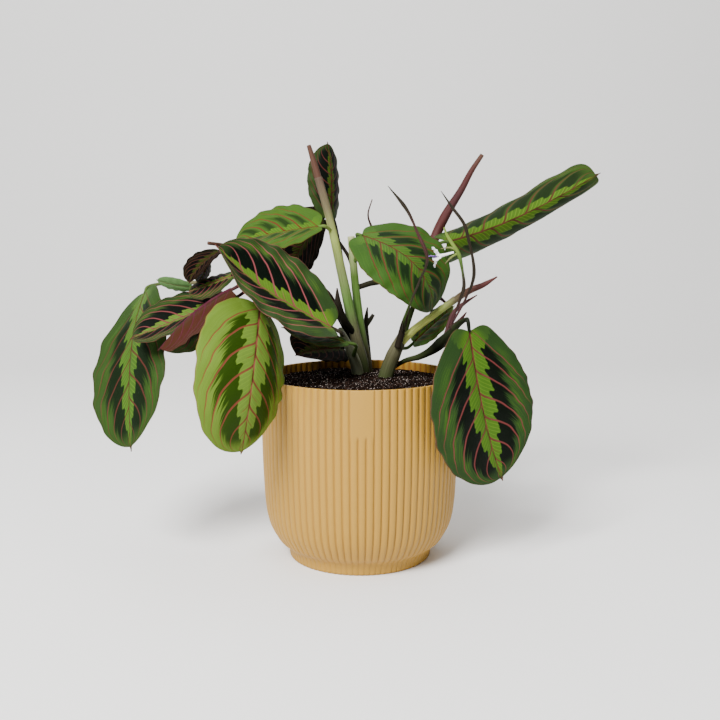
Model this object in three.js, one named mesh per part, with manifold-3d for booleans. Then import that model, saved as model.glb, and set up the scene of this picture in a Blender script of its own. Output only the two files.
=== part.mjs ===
// A potted prayer plant: a ribbed planter filled with potting soil, from which leafy stems,
// rolled young leaves and thin flower stalks rise and lean over the rim.
// Millimetres and degrees, +Z up. The planter's axis is the Z axis and its base stands on Z = 0.
// +X is the viewer's right and -Y is the front, where the planter has its smooth panel.
import * as THREE from 'three';
import { mergeVertices } from 'three/addons/utils/BufferGeometryUtils.js';
import Module from 'manifold-3d';

// ---------- driving dimensions ----------
const potHeight = 131.6;
const potRimRadius = 70;
const potBaseRadius = 50.6;
const potFootRadius = 51.9;
const footHeight = 6;
const potWall = 2.4;
const potFloor = 3.2;
const ribCount = 82;
const ribDepth = 1.1;
const footRibDepth = 0.4;
const potTurn = 1.2;
const panelRibs = 3;
const panelHalfAngle = (panelRibs * 180) / ribCount;
const panelBottom = 100;
const clearance = 0.35;
const soilEdgeHeight = 125.2;
const soilDome = 2.4;
const soilBump = 0.5;
const soilRoundSegments = 36;
const bladeEdgeThickness = 0.9;
const midribKeel = 0.9;
const spineSteps = 48;
const edgeWaves = 5;
const edgeWaveHeight = 1.1;
const stalkSides = 8;
const petioleRun = 7;
const petioleGap = 0.5;

const colours = {
  planter: '#cdae78',
  soil: '#2a1d18',
  leaf: '#3f6b35',
  leafLight: '#7da53c',
  leafDark: '#263a24',
  underside: '#6b3a2e',
  stem: '#5c7a3c',
  maroon: '#6e3236',
  flower: '#f4f2f6',
};

// ---------- small helpers ----------
const radians = THREE.MathUtils.degToRad;
const vector = (triple) => new THREE.Vector3(...triple);

function finish(colour, roughness) {
  return new THREE.MeshStandardMaterial({ color: colour, roughness, metalness: 0 });
}

function closedGeometry(positions, triangles) {
  const geometry = new THREE.BufferGeometry();
  geometry.setAttribute('position', new THREE.Float32BufferAttribute(positions, 3));
  geometry.setIndex(triangles);
  return geometry;
}

function welded(geometry) {
  geometry.deleteAttribute('normal');
  geometry.deleteAttribute('uv');
  return mergeVertices(geometry, 1e-4);
}

const wasm = await Module();
wasm.setup();

function toSolid(geometry) {
  const mesh = new wasm.Mesh({
    numProp: 3,
    vertProperties: new Float32Array(geometry.getAttribute('position').array),
    triVerts: new Uint32Array(geometry.getIndex().array),
  });
  return new wasm.Manifold(mesh);
}

function fromSolid(solid) {
  const mesh = solid.getMesh();
  return closedGeometry(Array.from(mesh.vertProperties), Array.from(mesh.triVerts));
}

function join(geometries) {
  const solids = geometries.map(toSolid);
  return fromSolid(solids.reduce((whole, solid) => whole.add(solid)));
}

// What is left of a shape outside the tools, without the slivers inside them.
function cut(geometry, tools) {
  const solids = tools.map(toSolid);
  const rest = solids.reduce((whole, solid) => whole.subtract(solid), toSolid(geometry));
  const pieces = rest.decompose().sort((a, b) => b.volume() - a.volume());
  return fromSolid(pieces[0]);
}

// ---------- stalks: a turned blank bent along a curve ----------
// points are where the stalk's middle line runs, and radii are its radii at equal steps along it.
function stalk({ points, radii, steps = 8, sides = stalkSides, grow = 0 }) {
  const curve = new THREE.CatmullRomCurve3(points.map(vector));
  const frames = curve.computeFrenetFrames(steps);
  const radiusAt = (u) => {
    const place = u * (radii.length - 1);
    const low = Math.min(Math.floor(place), radii.length - 2);
    return THREE.MathUtils.lerp(radii[low], radii[low + 1], place - low) + grow;
  };
  const profile = [new THREE.Vector2(0, 0)];
  for (let i = 0; i <= steps; i += 1) {
    profile.push(new THREE.Vector2(radiusAt(i / steps), i));
  }
  profile.push(new THREE.Vector2(0, steps));
  const geometry = welded(new THREE.LatheGeometry(profile, sides));
  const position = geometry.getAttribute('position');
  for (let k = 0; k < position.count; k += 1) {
    const ring = Math.round(position.getY(k));
    const place = curve.getPointAt(ring / steps);
    const outward = (ring === steps ? 1 : 0) - (ring === 0 ? 1 : 0);
    place.addScaledVector(frames.tangents[ring], outward * grow);
    place.addScaledVector(frames.normals[ring], position.getX(k));
    place.addScaledVector(frames.binormals[ring], -position.getZ(k));
    position.setXYZ(k, place.x, place.y, place.z);
  }
  return geometry;
}

// ---------- leaf blades ----------
// A blade is bent from a flat oval. Its midrib starts at base, runs at heading (about Z, from +X) and
// rise (above level), and bends towards its underside by bend degrees per blade length, which changes
// evenly from the base's value to the tip's. roll turns the upper face about the midrib, sway bends the
// midrib sideways and twist adds to roll along it. Each half, left then right as seen from above with
// the tip ahead, stands up from the midrib by fold degrees and bends down across its width by curl.
function bladeSpine(leaf) {
  const heading = radians(leaf.heading);
  const rise = radians(leaf.rise);
  const along = new THREE.Vector3(
    Math.cos(rise) * Math.cos(heading),
    Math.cos(rise) * Math.sin(heading),
    Math.sin(rise),
  );
  const up = new THREE.Vector3(
    -Math.sin(rise) * Math.cos(heading),
    -Math.sin(rise) * Math.sin(heading),
    Math.cos(rise),
  );
  up.applyAxisAngle(along, radians(leaf.roll));
  const place = vector(leaf.base);
  const spine = [{ place: place.clone(), along: along.clone(), up: up.clone() }];
  for (let i = 0; i < spineSteps; i += 1) {
    const t = (i + 0.5) / spineSteps;
    const left = new THREE.Vector3().crossVectors(up, along);
    const bend = radians(THREE.MathUtils.lerp(leaf.bend[0], leaf.bend[1], t)) / spineSteps;
    const turn = new THREE.Quaternion().setFromAxisAngle(left, bend);
    turn.multiply(new THREE.Quaternion().setFromAxisAngle(up, radians(leaf.sway) / spineSteps));
    turn.multiply(new THREE.Quaternion().setFromAxisAngle(along, radians(leaf.twist) / spineSteps));
    const before = along.clone();
    along.applyQuaternion(turn).normalize();
    up.applyQuaternion(turn);
    place.addScaledVector(before.add(along).normalize(), leaf.length / spineSteps);
    up.addScaledVector(along, -up.dot(along)).normalize();
    spine.push({ place: place.clone(), along: along.clone(), up: up.clone() });
  }
  return spine;
}

// Half the blade's width at t, from 0 at the stalk to 1 at the tip: a full oval with a short drip tip.
function bladeHalfWidth(t, width) {
  const oval = Math.min(t / 0.97, 1) ** 0.95;
  const body = (width / 2) * Math.max(1 - Math.abs(2 * oval - 1) ** 2.3, 0) ** 0.56;
  const dripTip = Math.min((1 - t) / 0.08, 1) * 0.05 * width;
  return Math.max(body, dripTip, 0.012 * width * (1 - t) + 0.4);
}

function spineAt(spine, t) {
  const step = Math.min(t * spineSteps, spineSteps - 1e-6);
  const low = Math.floor(step);
  const part = step - low;
  const before = spine[low];
  const after = spine[low + 1];
  const along = before.along.clone().lerp(after.along, part).normalize();
  const up = before.up.clone().lerp(after.up, part);
  up.addScaledVector(along, -up.dot(along)).normalize();
  return { place: before.place.clone().lerp(after.place, part), along, up };
}

// One point of the blade's middle surface, and the direction its upper face looks in there.
// v runs across, from -1 at the right edge through the midrib to 1 at the left edge.
function bladePoint(leaf, spine, t, v) {
  const { place, along, up } = spineAt(spine, t);
  const left = new THREE.Vector3().crossVectors(up, along);
  const side = v < 0 ? -1 : 1;
  const across = Math.abs(v);
  const half = v < 0 ? 1 : 0;
  const width = bladeHalfWidth(t, leaf.width);
  const fold = radians(leaf.fold[half]);
  const curl = radians(leaf.curl[half]) * (width / (leaf.width / 2)) || 1e-4;
  const angle = fold - curl * across;
  const sideways = (width * (Math.sin(fold) - Math.sin(angle))) / curl;
  const upward = (width * (Math.cos(angle) - Math.cos(fold))) / curl;
  const notch = leaf.notch * across ** 1.5 * (t / 0.035) * Math.exp(1 - t / 0.035);
  const tilt = across < 1e-6 ? 0 : angle;
  const face = up.clone().multiplyScalar(Math.cos(tilt));
  face.addScaledVector(left, -side * Math.sin(tilt));
  const wave = edgeWaveHeight * Math.min(leaf.length / 100, 1) * across ** 3 * Math.sin(Math.PI * t)
    * Math.sin(2 * Math.PI * edgeWaves * t + (side > 0 ? 0 : 2) + leaf.width);
  place.addScaledVector(left, side * sideways);
  place.addScaledVector(up, upward);
  place.addScaledVector(along, -notch);
  place.addScaledVector(face, wave);
  return { place, face };
}

// The closed blade: the same grid of triangles on both faces, with a keel under the midrib.
function blade(leaf) {
  const rows = leaf.rows ?? (leaf.length > 60 ? 12 : 8);
  const columns = leaf.columns ?? (leaf.length > 60 ? 6 : 4);
  const spine = bladeSpine(leaf);
  const top = [];
  const under = [];
  for (let i = 0; i <= rows; i += 1) {
    const t = (1 - Math.cos((Math.PI * i) / rows)) / 2;
    for (let j = 0; j <= columns; j += 1) {
      const v = (2 * j) / columns - 1;
      const { place, face } = bladePoint(leaf, spine, t, v);
      const keel = j === columns / 2 ? midribKeel * Math.sin(Math.PI * Math.min(t + 0.15, 1)) : 0;
      const half = bladeEdgeThickness / 2;
      top.push(...place.clone().addScaledVector(face, half).toArray());
      under.push(...place.clone().addScaledVector(face, -half - keel).toArray());
    }
  }
  const count = top.length / 3;
  const triangles = [];
  const at = (i, j) => i * (columns + 1) + j;
  for (let i = 0; i < rows; i += 1) {
    for (let j = 0; j < columns; j += 1) {
      const corners = [at(i, j), at(i, j + 1), at(i + 1, j + 1), at(i + 1, j)];
      const [a, b, c, d] = corners;
      const pairs = j < columns / 2 ? [[a, c, b], [a, d, c]] : [[a, d, b], [b, d, c]];
      pairs.forEach(([p, q, r]) => {
        triangles.push(p, q, r);
        triangles.push(p + count, r + count, q + count);
      });
    }
  }
  const rim = [];
  for (let j = 0; j < columns; j += 1) rim.push(at(0, j));
  for (let i = 0; i < rows; i += 1) rim.push(at(i, columns));
  for (let j = columns; j > 0; j -= 1) rim.push(at(rows, j));
  for (let i = rows; i > 0; i -= 1) rim.push(at(i, 0));
  rim.forEach((p, k) => {
    const q = rim[(k + 1) % rim.length];
    triangles.push(p, q, q + count, p, q + count, p + count);
  });
  return closedGeometry([...top, ...under], triangles);
}

// ---------- the planter ----------
// Radius at each height, from the flat base over the foot and the round shoulder to the rim.
// The ribs are shallow on the foot, and the whole ring of ribs is turned a little about the axis.
const potProfile = [
  [potBaseRadius, 0],
  [potFootRadius, footHeight],
  [55, 10.2],
  [61.7, 18],
  [65.9, 28],
  [68.7, 48],
  [potRimRadius + 0.1, panelBottom],
  [potRimRadius + 0.1, panelBottom + 2],
  [potRimRadius, potHeight],
];

function potOutside() {
  const profile = [new THREE.Vector2(0, 0)];
  potProfile.forEach(([radius, height]) => profile.push(new THREE.Vector2(radius, height)));
  profile.push(new THREE.Vector2(0, potHeight));
  const geometry = welded(new THREE.LatheGeometry(profile, ribCount * 3));
  const position = geometry.getAttribute('position');
  const ribAngle = 360 / ribCount;
  for (let k = 0; k < position.count; k += 1) {
    const x = position.getX(k);
    const height = position.getY(k);
    const z = position.getZ(k);
    const radius = Math.hypot(x, z);
    const step = Math.round(THREE.MathUtils.radToDeg(Math.atan2(x, z)) / (ribAngle / 3));
    // Every third line is a groove, and the front rib is centred on -Y, before the turn.
    const angle = step * (ribAngle / 3) + ribAngle / 2;
    const fromFront = Math.abs(THREE.MathUtils.euclideanModulo(angle + 180, 360) - 180);
    const groove = THREE.MathUtils.euclideanModulo(step, 3) === 0;
    const onPanel = fromFront < panelHalfAngle - 1 && height > panelBottom + 1;
    const ribbed = groove && !onPanel && radius > 1;
    const depth = height <= footHeight ? footRibDepth : ribDepth;
    const turned = radians(angle - 90 + potTurn);
    const reach = ribbed ? radius - depth : radius;
    position.setXYZ(k, reach * Math.cos(turned), reach * Math.sin(turned), height);
  }
  return geometry;
}

function potInside(shrink, top) {
  const profile = [new THREE.Vector2(0, potFloor + shrink)];
  const inner = [[48, potFloor], [48, 8], [59, 19], [66, 45], [potRimRadius - potWall, 99]];
  inner.forEach(([radius, height], k) => {
    profile.push(new THREE.Vector2(radius - shrink, k === 0 ? height + shrink : height));
  });
  profile.push(new THREE.Vector2(potRimRadius - potWall - shrink, top));
  return { profile, radius: potRimRadius - potWall - shrink };
}

function planter() {
  const { profile } = potInside(0, potHeight + 5);
  profile.push(new THREE.Vector2(0, potHeight + 5));
  const cavity = welded(new THREE.LatheGeometry(profile, soilRoundSegments));
  cavity.rotateX(Math.PI / 2);
  return cut(potOutside(), [cavity]);
}

// ---------- the soil ----------
// A fill with a slightly heaped, crumbly top, and a plain hole for each stem.
function soil(stems) {
  const { profile, radius } = potInside(clearance, soilEdgeHeight);
  const rings = 5;
  for (let i = 1; i < rings; i += 1) {
    profile.push(new THREE.Vector2(radius * (1 - i / rings), soilEdgeHeight));
  }
  profile.push(new THREE.Vector2(0, soilEdgeHeight));
  const geometry = welded(new THREE.LatheGeometry(profile, soilRoundSegments));
  geometry.rotateX(Math.PI / 2);
  const position = geometry.getAttribute('position');
  for (let k = 0; k < position.count; k += 1) {
    const x = position.getX(k);
    const y = position.getY(k);
    const out = Math.hypot(x, y) / radius;
    if (position.getZ(k) > soilEdgeHeight - 1 && out < 0.99) {
      const bump = soilBump * (Math.sin(x * 0.31 + 1) + Math.sin(y * 0.37 + x * 0.11));
      position.setZ(k, soilEdgeHeight + soilDome * (1 - out * out) + bump);
    }
  }
  const holes = stems.map((stem) => stalk({ ...stem, grow: clearance }));
  return cut(geometry, holes);
}

// ---------- where everything grows ----------
const leaves = {
  leaf_right_hanging: { base: [71.6, -50, 168.2], heading: -39, rise: -79, roll: 6, bend: [17, 6],
    sway: 26, twist: 15, length: 110, width: 84, fold: [5, 8], curl: [-5, 31] },
  leaf_left_hanging: { base: [-156.3, 24, 188.2], heading: -107, rise: -46, roll: 41, bend: [44, 3],
    sway: 3, twist: -10, length: 125, width: 73, fold: [2, 1], curl: [28, -30] },
  leaf_lime: { base: [-65.6, -46.5, 183.8], heading: -88, rise: -28, roll: -13, bend: [50, 150],
    sway: 6, twist: -2, length: 112, width: 77, fold: [-32, 27], curl: [39, 23], notch: 1,
    colour: colours.leafLight },
  leaf_front: { base: [-19, -18, 166.3], heading: -159, rise: 29, roll: -28, bend: [7, -50],
    sway: -6, twist: 2, length: 100, width: 75, fold: [16, 29], curl: [30, -3] },
  leaf_upper_left: { base: [-28.6, 18, 235.2], heading: 179, rise: -6, roll: -13, bend: [9, 10],
    sway: 2, twist: 9, length: 64, width: 61, fold: [6, 28], curl: [35, -3] },
  leaf_top: { base: [-21.6, 46, 241.7], heading: 52, rise: 83, roll: 83, bend: [12, 23],
    sway: 4, twist: -1, length: 57, width: 37, fold: [-20, -12], curl: [30, 36] },
  leaf_shaded_back: { base: [-28, 62, 241], heading: 170, rise: -45, roll: -39, bend: [28, 23],
    sway: -1, twist: -12, length: 48, width: 62, fold: [12, 19], curl: [12, 14], colour: colours.leafDark },
  leaf_centre_right: { base: [0.6, -6, 229.5], heading: -21, rise: -15.4, roll: 21, bend: [15, 173],
    sway: -6, twist: -7, length: 82, width: 79, fold: [-4, 5], curl: [-20, 31] },
  leaf_right_raised: { base: [62.2, 17.6, 224.3], heading: 31.5, rise: 11.4, roll: 54, bend: [-1, -139],
    sway: 7.7, twist: 23.7, length: 134.5, width: 79.3, fold: [-29, -50], curl: [70, 78] },
  leaf_left_level: { base: [-90, -20, 186], heading: 195, rise: -18, roll: -7, bend: [14, 1],
    sway: -12, twist: -16, length: 72, width: 50, fold: [9, 21], curl: [6, 3] },
  leaf_left_underside: { base: [-83.9, -48.5, 194.9], heading: 184, rise: -27, roll: 182,
    bend: [-25, -24], sway: -1, twist: 0, length: 63, width: 46, fold: [84, 43], curl: [38, 30],
    colour: colours.underside },
  leaf_left_small: { base: [-84.7, -34, 203.4], heading: 174, rise: -19, roll: -24, bend: [6, 0],
    sway: -3, twist: -12, length: 34, width: 27, fold: [1, 1], curl: [22, 23] },
  leaf_left_curled: { base: [-94.6, -23, 218.5], heading: 216, rise: -19, roll: -1, bend: [42, 47],
    sway: 0, twist: -3, length: 32, width: 27, fold: [11, 15], curl: [8, -7], colour: colours.leafDark },
  leaf_left_young: { base: [-105, -14, 211.4], heading: 213, rise: -76, roll: 223, bend: [32, 34],
    sway: 0, twist: 2, length: 16, width: 23, fold: [8, 5], curl: [11, 18], colour: colours.underside },
  leaf_left_pale: { base: [-115.9, -13, 194], heading: 182, rise: 3, roll: -127, bend: [25, 23],
    sway: -1, twist: 0, length: 26, width: 12, fold: [2, 2], curl: [23, 23], colour: colours.leafLight },
  leaf_front_lower: { base: [-9.8, -8, 155], heading: 199, rise: 16, roll: -13, bend: [9, -12],
    sway: 0, twist: -6, length: 48, width: 33, fold: [5, 7], curl: [18, 16] },
  leaf_back_low: { base: [-14, 49, 143.2], heading: 220, rise: 5, roll: -31, bend: [9, 12],
    sway: 10, twist: 8, length: 45, width: 50, fold: [15, 17], curl: [5, 9], colour: colours.leafDark },
  leaf_right_lower: { base: [39.3, 21, 151.1], heading: -16, rise: 44, roll: 40, bend: [5, 4],
    sway: 3, twist: -1, length: 40.5, width: 33.4, fold: [3, 19], curl: [18, 24] },
};

// Stems start 14 mm down in the soil. Each entry is one node, whose branches are grown together,
// and a branch that ends at a leaf names it.
const stems = {
  stem_tall: [
    { points: [[4, 34, 112], [2.5, 34, 132], [-3.5, 31, 156], [-12, 26, 196], [-22, 26, 241], [-30, 28, 270]],
      radii: [4.4, 4.2, 3.8, 3.3, 2.9, 2.9], steps: 10 },
    { points: [[-20.5, 25.5, 231], [-23, 21, 234]], to: 'leaf_upper_left', run: 3,
      radii: [1.5, 1.3, 1.1], steps: 4 },
    { points: [[-13, 27, 202], [-14, 40, 212], [-17, 56, 228], [-20, 63, 240]], to: 'leaf_shaded_back',
      radii: [1.7, 1.4, 1.2], steps: 8 },
    { points: [[-5, 29, 158], [-11, 24, 166], [-15.5, 21, 177], [-16.6, 20, 191]],
      radii: [2.4, 3, 2.9, 0.6], steps: 5 },
  ],
  stem_cut: [
    { points: [[7, 45, 112], [5.5, 44, 130], [1.5, 39, 153], [-3, 34, 189], [-6.5, 32, 228]],
      radii: [4, 3.8, 3.2, 2.6, 2.5], steps: 8 },
    { points: [[-4.5, 33, 208], [-1, 24, 218], [-1.5, 8, 227]], to: 'leaf_centre_right', run: 2.5,
      radii: [1.5, 1.3, 1.1], steps: 6 },
    { points: [[-3.6, 33.6, 196], [-8, 37, 212]], to: 'leaf_top', radii: [1.5, 1.3, 1.1], steps: 6 },
    { points: [[-3, 34.5, 190], [7, 39, 193], [18, 42, 196], [21, 43, 208], [12, 43, 228], [6, 43, 243],
      [9, 43, 255]], radii: [2, 2.2, 2, 1.8, 1.2, 0.7, 0.4], steps: 10 },
  ],
  stem_front: [
    { points: [[-2, 25, 112], [-2, 25, 130], [-7, 18, 146], [-12, 8, 158], [-14, 1, 163]],
      radii: [4.5, 4.4, 3.8, 2.8, 1.8], steps: 7 },
    { points: [[-12.5, 4.5, 159]], to: 'leaf_front', radii: [2, 1.5, 1.1], steps: 3 },
    { points: [[-5, 20, 141], [-3.5, 8, 147]], to: 'leaf_front_lower', radii: [1.6, 1.3, 1.1], steps: 4 },
  ],
  stem_left: [
    { points: [[-2, 47, 112], [-2, 47, 128], [-4, 46.5, 143], [-10, 43, 158], [-17, 37, 172],
      [-24, 32, 186], [-36, 27, 194], [-56, 20, 200], [-74, 10, 206]],
      radii: [3.4, 3.2, 2.8, 2.6, 2.4, 2.2, 2.1, 1.9, 1.6], steps: 12 },
    { points: [[-3.4, 46.8, 137]], to: 'leaf_back_low', radii: [1.5, 1.3, 1.1], steps: 3 },
    { points: [[-72, 11, 205], [-92, 14.5, 199], [-118, 24, 195], [-146, 31, 193.5]],
      to: 'leaf_left_hanging', run: 4, radii: [1.6, 1.5, 1.4, 1.3, 1.2], steps: 9 },
    { points: [[-62, 16, 202], [-69, 2, 200]], to: 'leaf_left_level', radii: [1.5, 1.3, 1.1], steps: 5 },
    { points: [[-54, 20.5, 199], [-61, 5, 203], [-68, -12, 206], [-73, -28, 203], [-76, -40, 199.5]],
      to: 'leaf_left_underside', run: 3, radii: [1.6, 1.6, 1.7, 1.8, 1.5, 1.1], steps: 9 },
    { points: [[-44, 24, 196], [-51, 4, 186], [-57, -14, 182.5], [-62, -28, 185]],
      to: 'leaf_lime', radii: [1.6, 1.4, 1.2, 1.1], steps: 7 },
    { points: [[-72, 11, 205], [-76, -14, 211]], to: 'leaf_left_small', radii: [1.4, 1.2, 1.1], steps: 5 },
    { points: [[-73, 10, 205.5], [-82, -6, 215]], to: 'leaf_left_curled', radii: [1.4, 1.2, 1.1], steps: 5 },
    { points: [[-84, 13, 201.3], [-95, 2, 216]], to: 'leaf_left_young', radii: [1.3, 1.2, 1.1], steps: 5 },
    { points: [[-98, 16.5, 197.7], [-104, 5, 195.5]], to: 'leaf_left_pale', radii: [1.2, 1.1, 1], steps: 5 },
    { points: [[-82, -6, 213.5], [-91, -15, 222], [-102.5, -24, 224.5]], radii: [1, 1.2, 1.2], steps: 3 },
  ],
  stem_right: [
    { points: [[16, 14, 112], [18, 12, 125], [24, 10, 143], [31, 8, 158]],
      radii: [4.6, 5.2, 5.2, 3.8], steps: 6 },
    { points: [[29, 8.5, 152], [38, 4, 162], [53, 0, 174], [67, -4, 185]],
      radii: [3, 2.8, 2.4, 2.6], steps: 6 },
    { points: [[30, 8, 155], [40, 24, 180], [51, 30, 206]], to: 'leaf_right_raised',
      radii: [2.4, 1.9, 1.6, 1.4, 1.1], steps: 7 },
    { points: [[27, 10, 149], [34, 18, 147.5]], to: 'leaf_right_lower', run: 3, radii: [1.6, 1.3, 1.1],
      steps: 4 },
    { points: [[27, 3, 150], [31, -1, 167], [35.6, -4, 184]], radii: [2.6, 2.2, 0.5], steps: 3 },
    { points: [[42, 24, 185], [50, 27, 187], [57.6, 27, 184], [63.4, 25, 179.3]],
      radii: [1.2, 1.4, 1.5, 0.8], steps: 4 },
  ],
  stem_low: [
    { points: [[19, 26, 112], [20, 24, 127], [31, 14, 138], [42, -2, 144], [51, -14, 151],
      [59.5, -25, 161], [66, -37, 171], [70, -46, 175]], to: 'leaf_right_hanging',
      radii: [1.7, 1.7, 1.6, 2, 2.6, 4, 2.6, 1.6, 1.1], steps: 13 },
    { points: [[62, -31, 167], [67, -35, 173], [71, -38, 179]], radii: [2.4, 1.5, 0.4], steps: 4 },
  ],
  stem_stub: [
    { points: [[8, 53, 112], [7, 52, 132], [5, 50.5, 152], [3.5, 49, 164]],
      radii: [2.2, 2.1, 2, 2.2], steps: 4 },
    { points: [[4, 49.5, 158], [4.8, 49, 167], [5.6, 49, 174.5]], radii: [2, 1.7, 0.6], steps: 2 },
    { points: [[4, 49.5, 160], [7.5, 49, 164.8], [10.2, 49, 169]], radii: [1.9, 1.8, 1.4], steps: 2 },
  ],
};

// Rolled young leaves and thin flower stalks, each seated on the stem that it grows from.
const sprouts = {
  rolled_leaf_top: { from: 'stem_tall', colour: colours.maroon, list: [
    { points: [[-29.5, 27.8, 268], [-33, 29, 280], [-37, 30, 293]], radii: [2.6, 2.5, 1.7], steps: 5 },
  ] },
  rolled_leaf_right: { from: 'stem_right', colour: colours.maroon, list: [
    { points: [[65, -3.4, 183.5], [72, -5, 188.5], [78, -6, 192], [85, -8, 195], [95, -10, 201]],
      radii: [2.2, 2.6, 2.4, 1.8, 0.5], steps: 7 },
  ] },
  rolled_leaf_tall: { from: 'stem_right', colour: colours.maroon, list: [
    { points: [[48.3, 28.5, 199], [50.1, 44, 210.8], [57.1, 53, 228.9], [64.5, 54, 244], [75.7, 52, 262.5],
      [82.7, 51, 275.8], [90.6, 51, 287.8]], radii: [0.6, 2.8, 4, 4, 3.1, 2.4, 1.7], steps: 10 },
  ] },
  rolled_leaf_small: { from: 'stem_low', colour: colours.maroon, list: [
    { points: [[58, -22, 161], [65, -15, 177], [72, -14, 183], [80.5, -16, 188.8]],
      radii: [1.2, 1.6, 1.5, 0.4], steps: 6 },
  ] },
  flower_stalk_left: { from: 'stem_right', colour: colours.leafDark, list: [
    { points: [[30, 0.5, 162], [30.8, -5, 162.5], [30.5, -14, 165.8], [29.9, -33, 174], [33.6, -47.5, 187.5],
      [38.6, -48, 199.8], [43.6, -50, 214.8], [36.9, -50, 232.3], [30.4, -47, 246.3], [18.1, -44, 261.8]],
      radii: [0.9, 0.9, 0.9, 0.9, 0.9, 0.9, 1.4, 0.9, 1.3, 0.4], steps: 18, sides: 6 },
  ] },
  flower_stalk_right: { from: 'stem_low', colour: colours.leafDark, list: [
    { points: [[59.5, -23.5, 162], [62.5, -21, 168.5], [72.1, -18, 185.6], [77.9, -18, 202.7],
      [73.4, -18, 228.4], [70.6, -18, 237.2], [62.4, -16, 248.6], [54.9, -16, 259.3]],
      radii: [0.9, 0.9, 0.9, 1.4, 1, 1.3, 1.1, 0.4], steps: 16, sides: 6 },
  ] },
  flower_stalk_short: { from: 'stem_low', colour: colours.leafDark, list: [
    { points: [[60.5, -27, 164], [63.5, -30, 175.7], [69.1, -32, 192.8], [69.7, -32, 197.5],
      [66.3, -30, 216.7], [64.9, -30, 219.4], [58, -30, 230], [56, -30, 235]],
      radii: [0.9, 0.9, 1, 1.4, 1, 1.5, 1.2, 0.8], steps: 14, sides: 6 },
    { points: [[65.5, -30, 219], [61, -30, 221.5], [54, -30, 221]],
      radii: [0.8, 0.7, 0.4], steps: 3, sides: 5 },
    { points: [[65.5, -30, 218], [61, -30, 215], [57, -30, 211]],
      radii: [0.8, 0.7, 0.4], steps: 3, sides: 5 },
  ] },
};

// The open flower: a tube and its spreading petals.
const flowerParts = {
  tube: { points: [[62.7, -30, 218.5], [57, -30.5, 217], [51, -31, 215.5]],
    radii: [0.8, 0.9, 1.5], steps: 4 },
  petals: [[150, 62], [205, 10], [160, -60], [250, -8]],
  petal: { base: [52.4, -30.9, 215.8], roll: 0, bend: [20, 20], sway: 0, twist: 0, length: 8, width: 6,
    fold: [8, 8], curl: [10, 10], notch: 0, rows: 4, columns: 4 },
};

// ---------- growing the pieces ----------
// The last stretch of a leaf's stalk runs in line with the midrib and stops just short of the blade.
function grown({ to, points, run = petioleRun, ...shape }) {
  if (!to) return { points, ...shape };
  const { place, along } = bladeSpine(leaves[to])[0];
  const last = [run, petioleGap].map((back) => place.clone().addScaledVector(along, -back));
  return { points: [...points, ...last.map((end) => end.toArray())], ...shape };
}

function flower() {
  const petals = flowerParts.petals.map(([heading, rise]) => {
    return blade({ ...flowerParts.petal, heading, rise });
  });
  return join([stalk(flowerParts.tube), ...petals]);
}

const branches = Object.fromEntries(
  Object.entries(stems).map(([name, list]) => [name, list.map(grown)]),
);
const roots = Object.values(branches).map((list) => list[0]);
const group = new THREE.Group();

function place(name, geometry, colour, roughness = 0.6) {
  const mesh = new THREE.Mesh(geometry, finish(colour, roughness));
  mesh.name = name;
  group.add(mesh);
}

place('planter', planter(), colours.planter, 0.55);
place('potting_soil', soil(roots), colours.soil, 0.95);
Object.entries(branches).forEach(([name, list]) => {
  place(name, join(list.map(stalk)), colours.stem, 0.55);
});
Object.entries(sprouts).forEach(([name, { from, colour, list }]) => {
  const seats = branches[from].map((branch) => stalk({ ...branch, grow: clearance }));
  place(name, cut(join(list.map(stalk)), seats), colour, 0.55);
});
place('flower', flower(), colours.flower, 0.6);
Object.entries(leaves).forEach(([name, leaf]) => {
  place(name, blade({ notch: leaf.width * 0.06, ...leaf }), leaf.colour ?? colours.leaf, 0.5);
});

export default group;
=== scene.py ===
"""Looks for a potted prayer plant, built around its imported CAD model.

Sizes are millimetres up to the point where a mesh is made, and metres from there on. The frame is
the CAD's: +Z up, the viewer on -Y, the planter's axis on Z and its base on Z = 0.
"""

import math
import random
from functools import partialmethod
from types import SimpleNamespace

import bpy
import numpy as np
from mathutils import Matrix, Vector, noise


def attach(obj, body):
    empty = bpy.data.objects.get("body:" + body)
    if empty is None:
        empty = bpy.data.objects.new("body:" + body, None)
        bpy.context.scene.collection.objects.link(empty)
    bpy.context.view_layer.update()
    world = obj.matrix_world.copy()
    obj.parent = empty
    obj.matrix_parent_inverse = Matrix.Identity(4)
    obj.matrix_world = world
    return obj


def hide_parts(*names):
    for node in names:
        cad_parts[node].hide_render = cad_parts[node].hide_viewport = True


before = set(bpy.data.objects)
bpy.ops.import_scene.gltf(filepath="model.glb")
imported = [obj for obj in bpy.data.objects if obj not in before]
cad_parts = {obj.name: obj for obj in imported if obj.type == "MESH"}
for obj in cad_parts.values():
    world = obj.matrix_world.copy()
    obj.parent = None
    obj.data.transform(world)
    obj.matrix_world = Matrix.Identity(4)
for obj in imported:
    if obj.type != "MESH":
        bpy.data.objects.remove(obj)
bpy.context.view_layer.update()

MM = 0.001
SEED = 11
LEAF_IOR = 1.16
STALK_IOR = 1.2
PLANT_SHINE = 0.35

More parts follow.
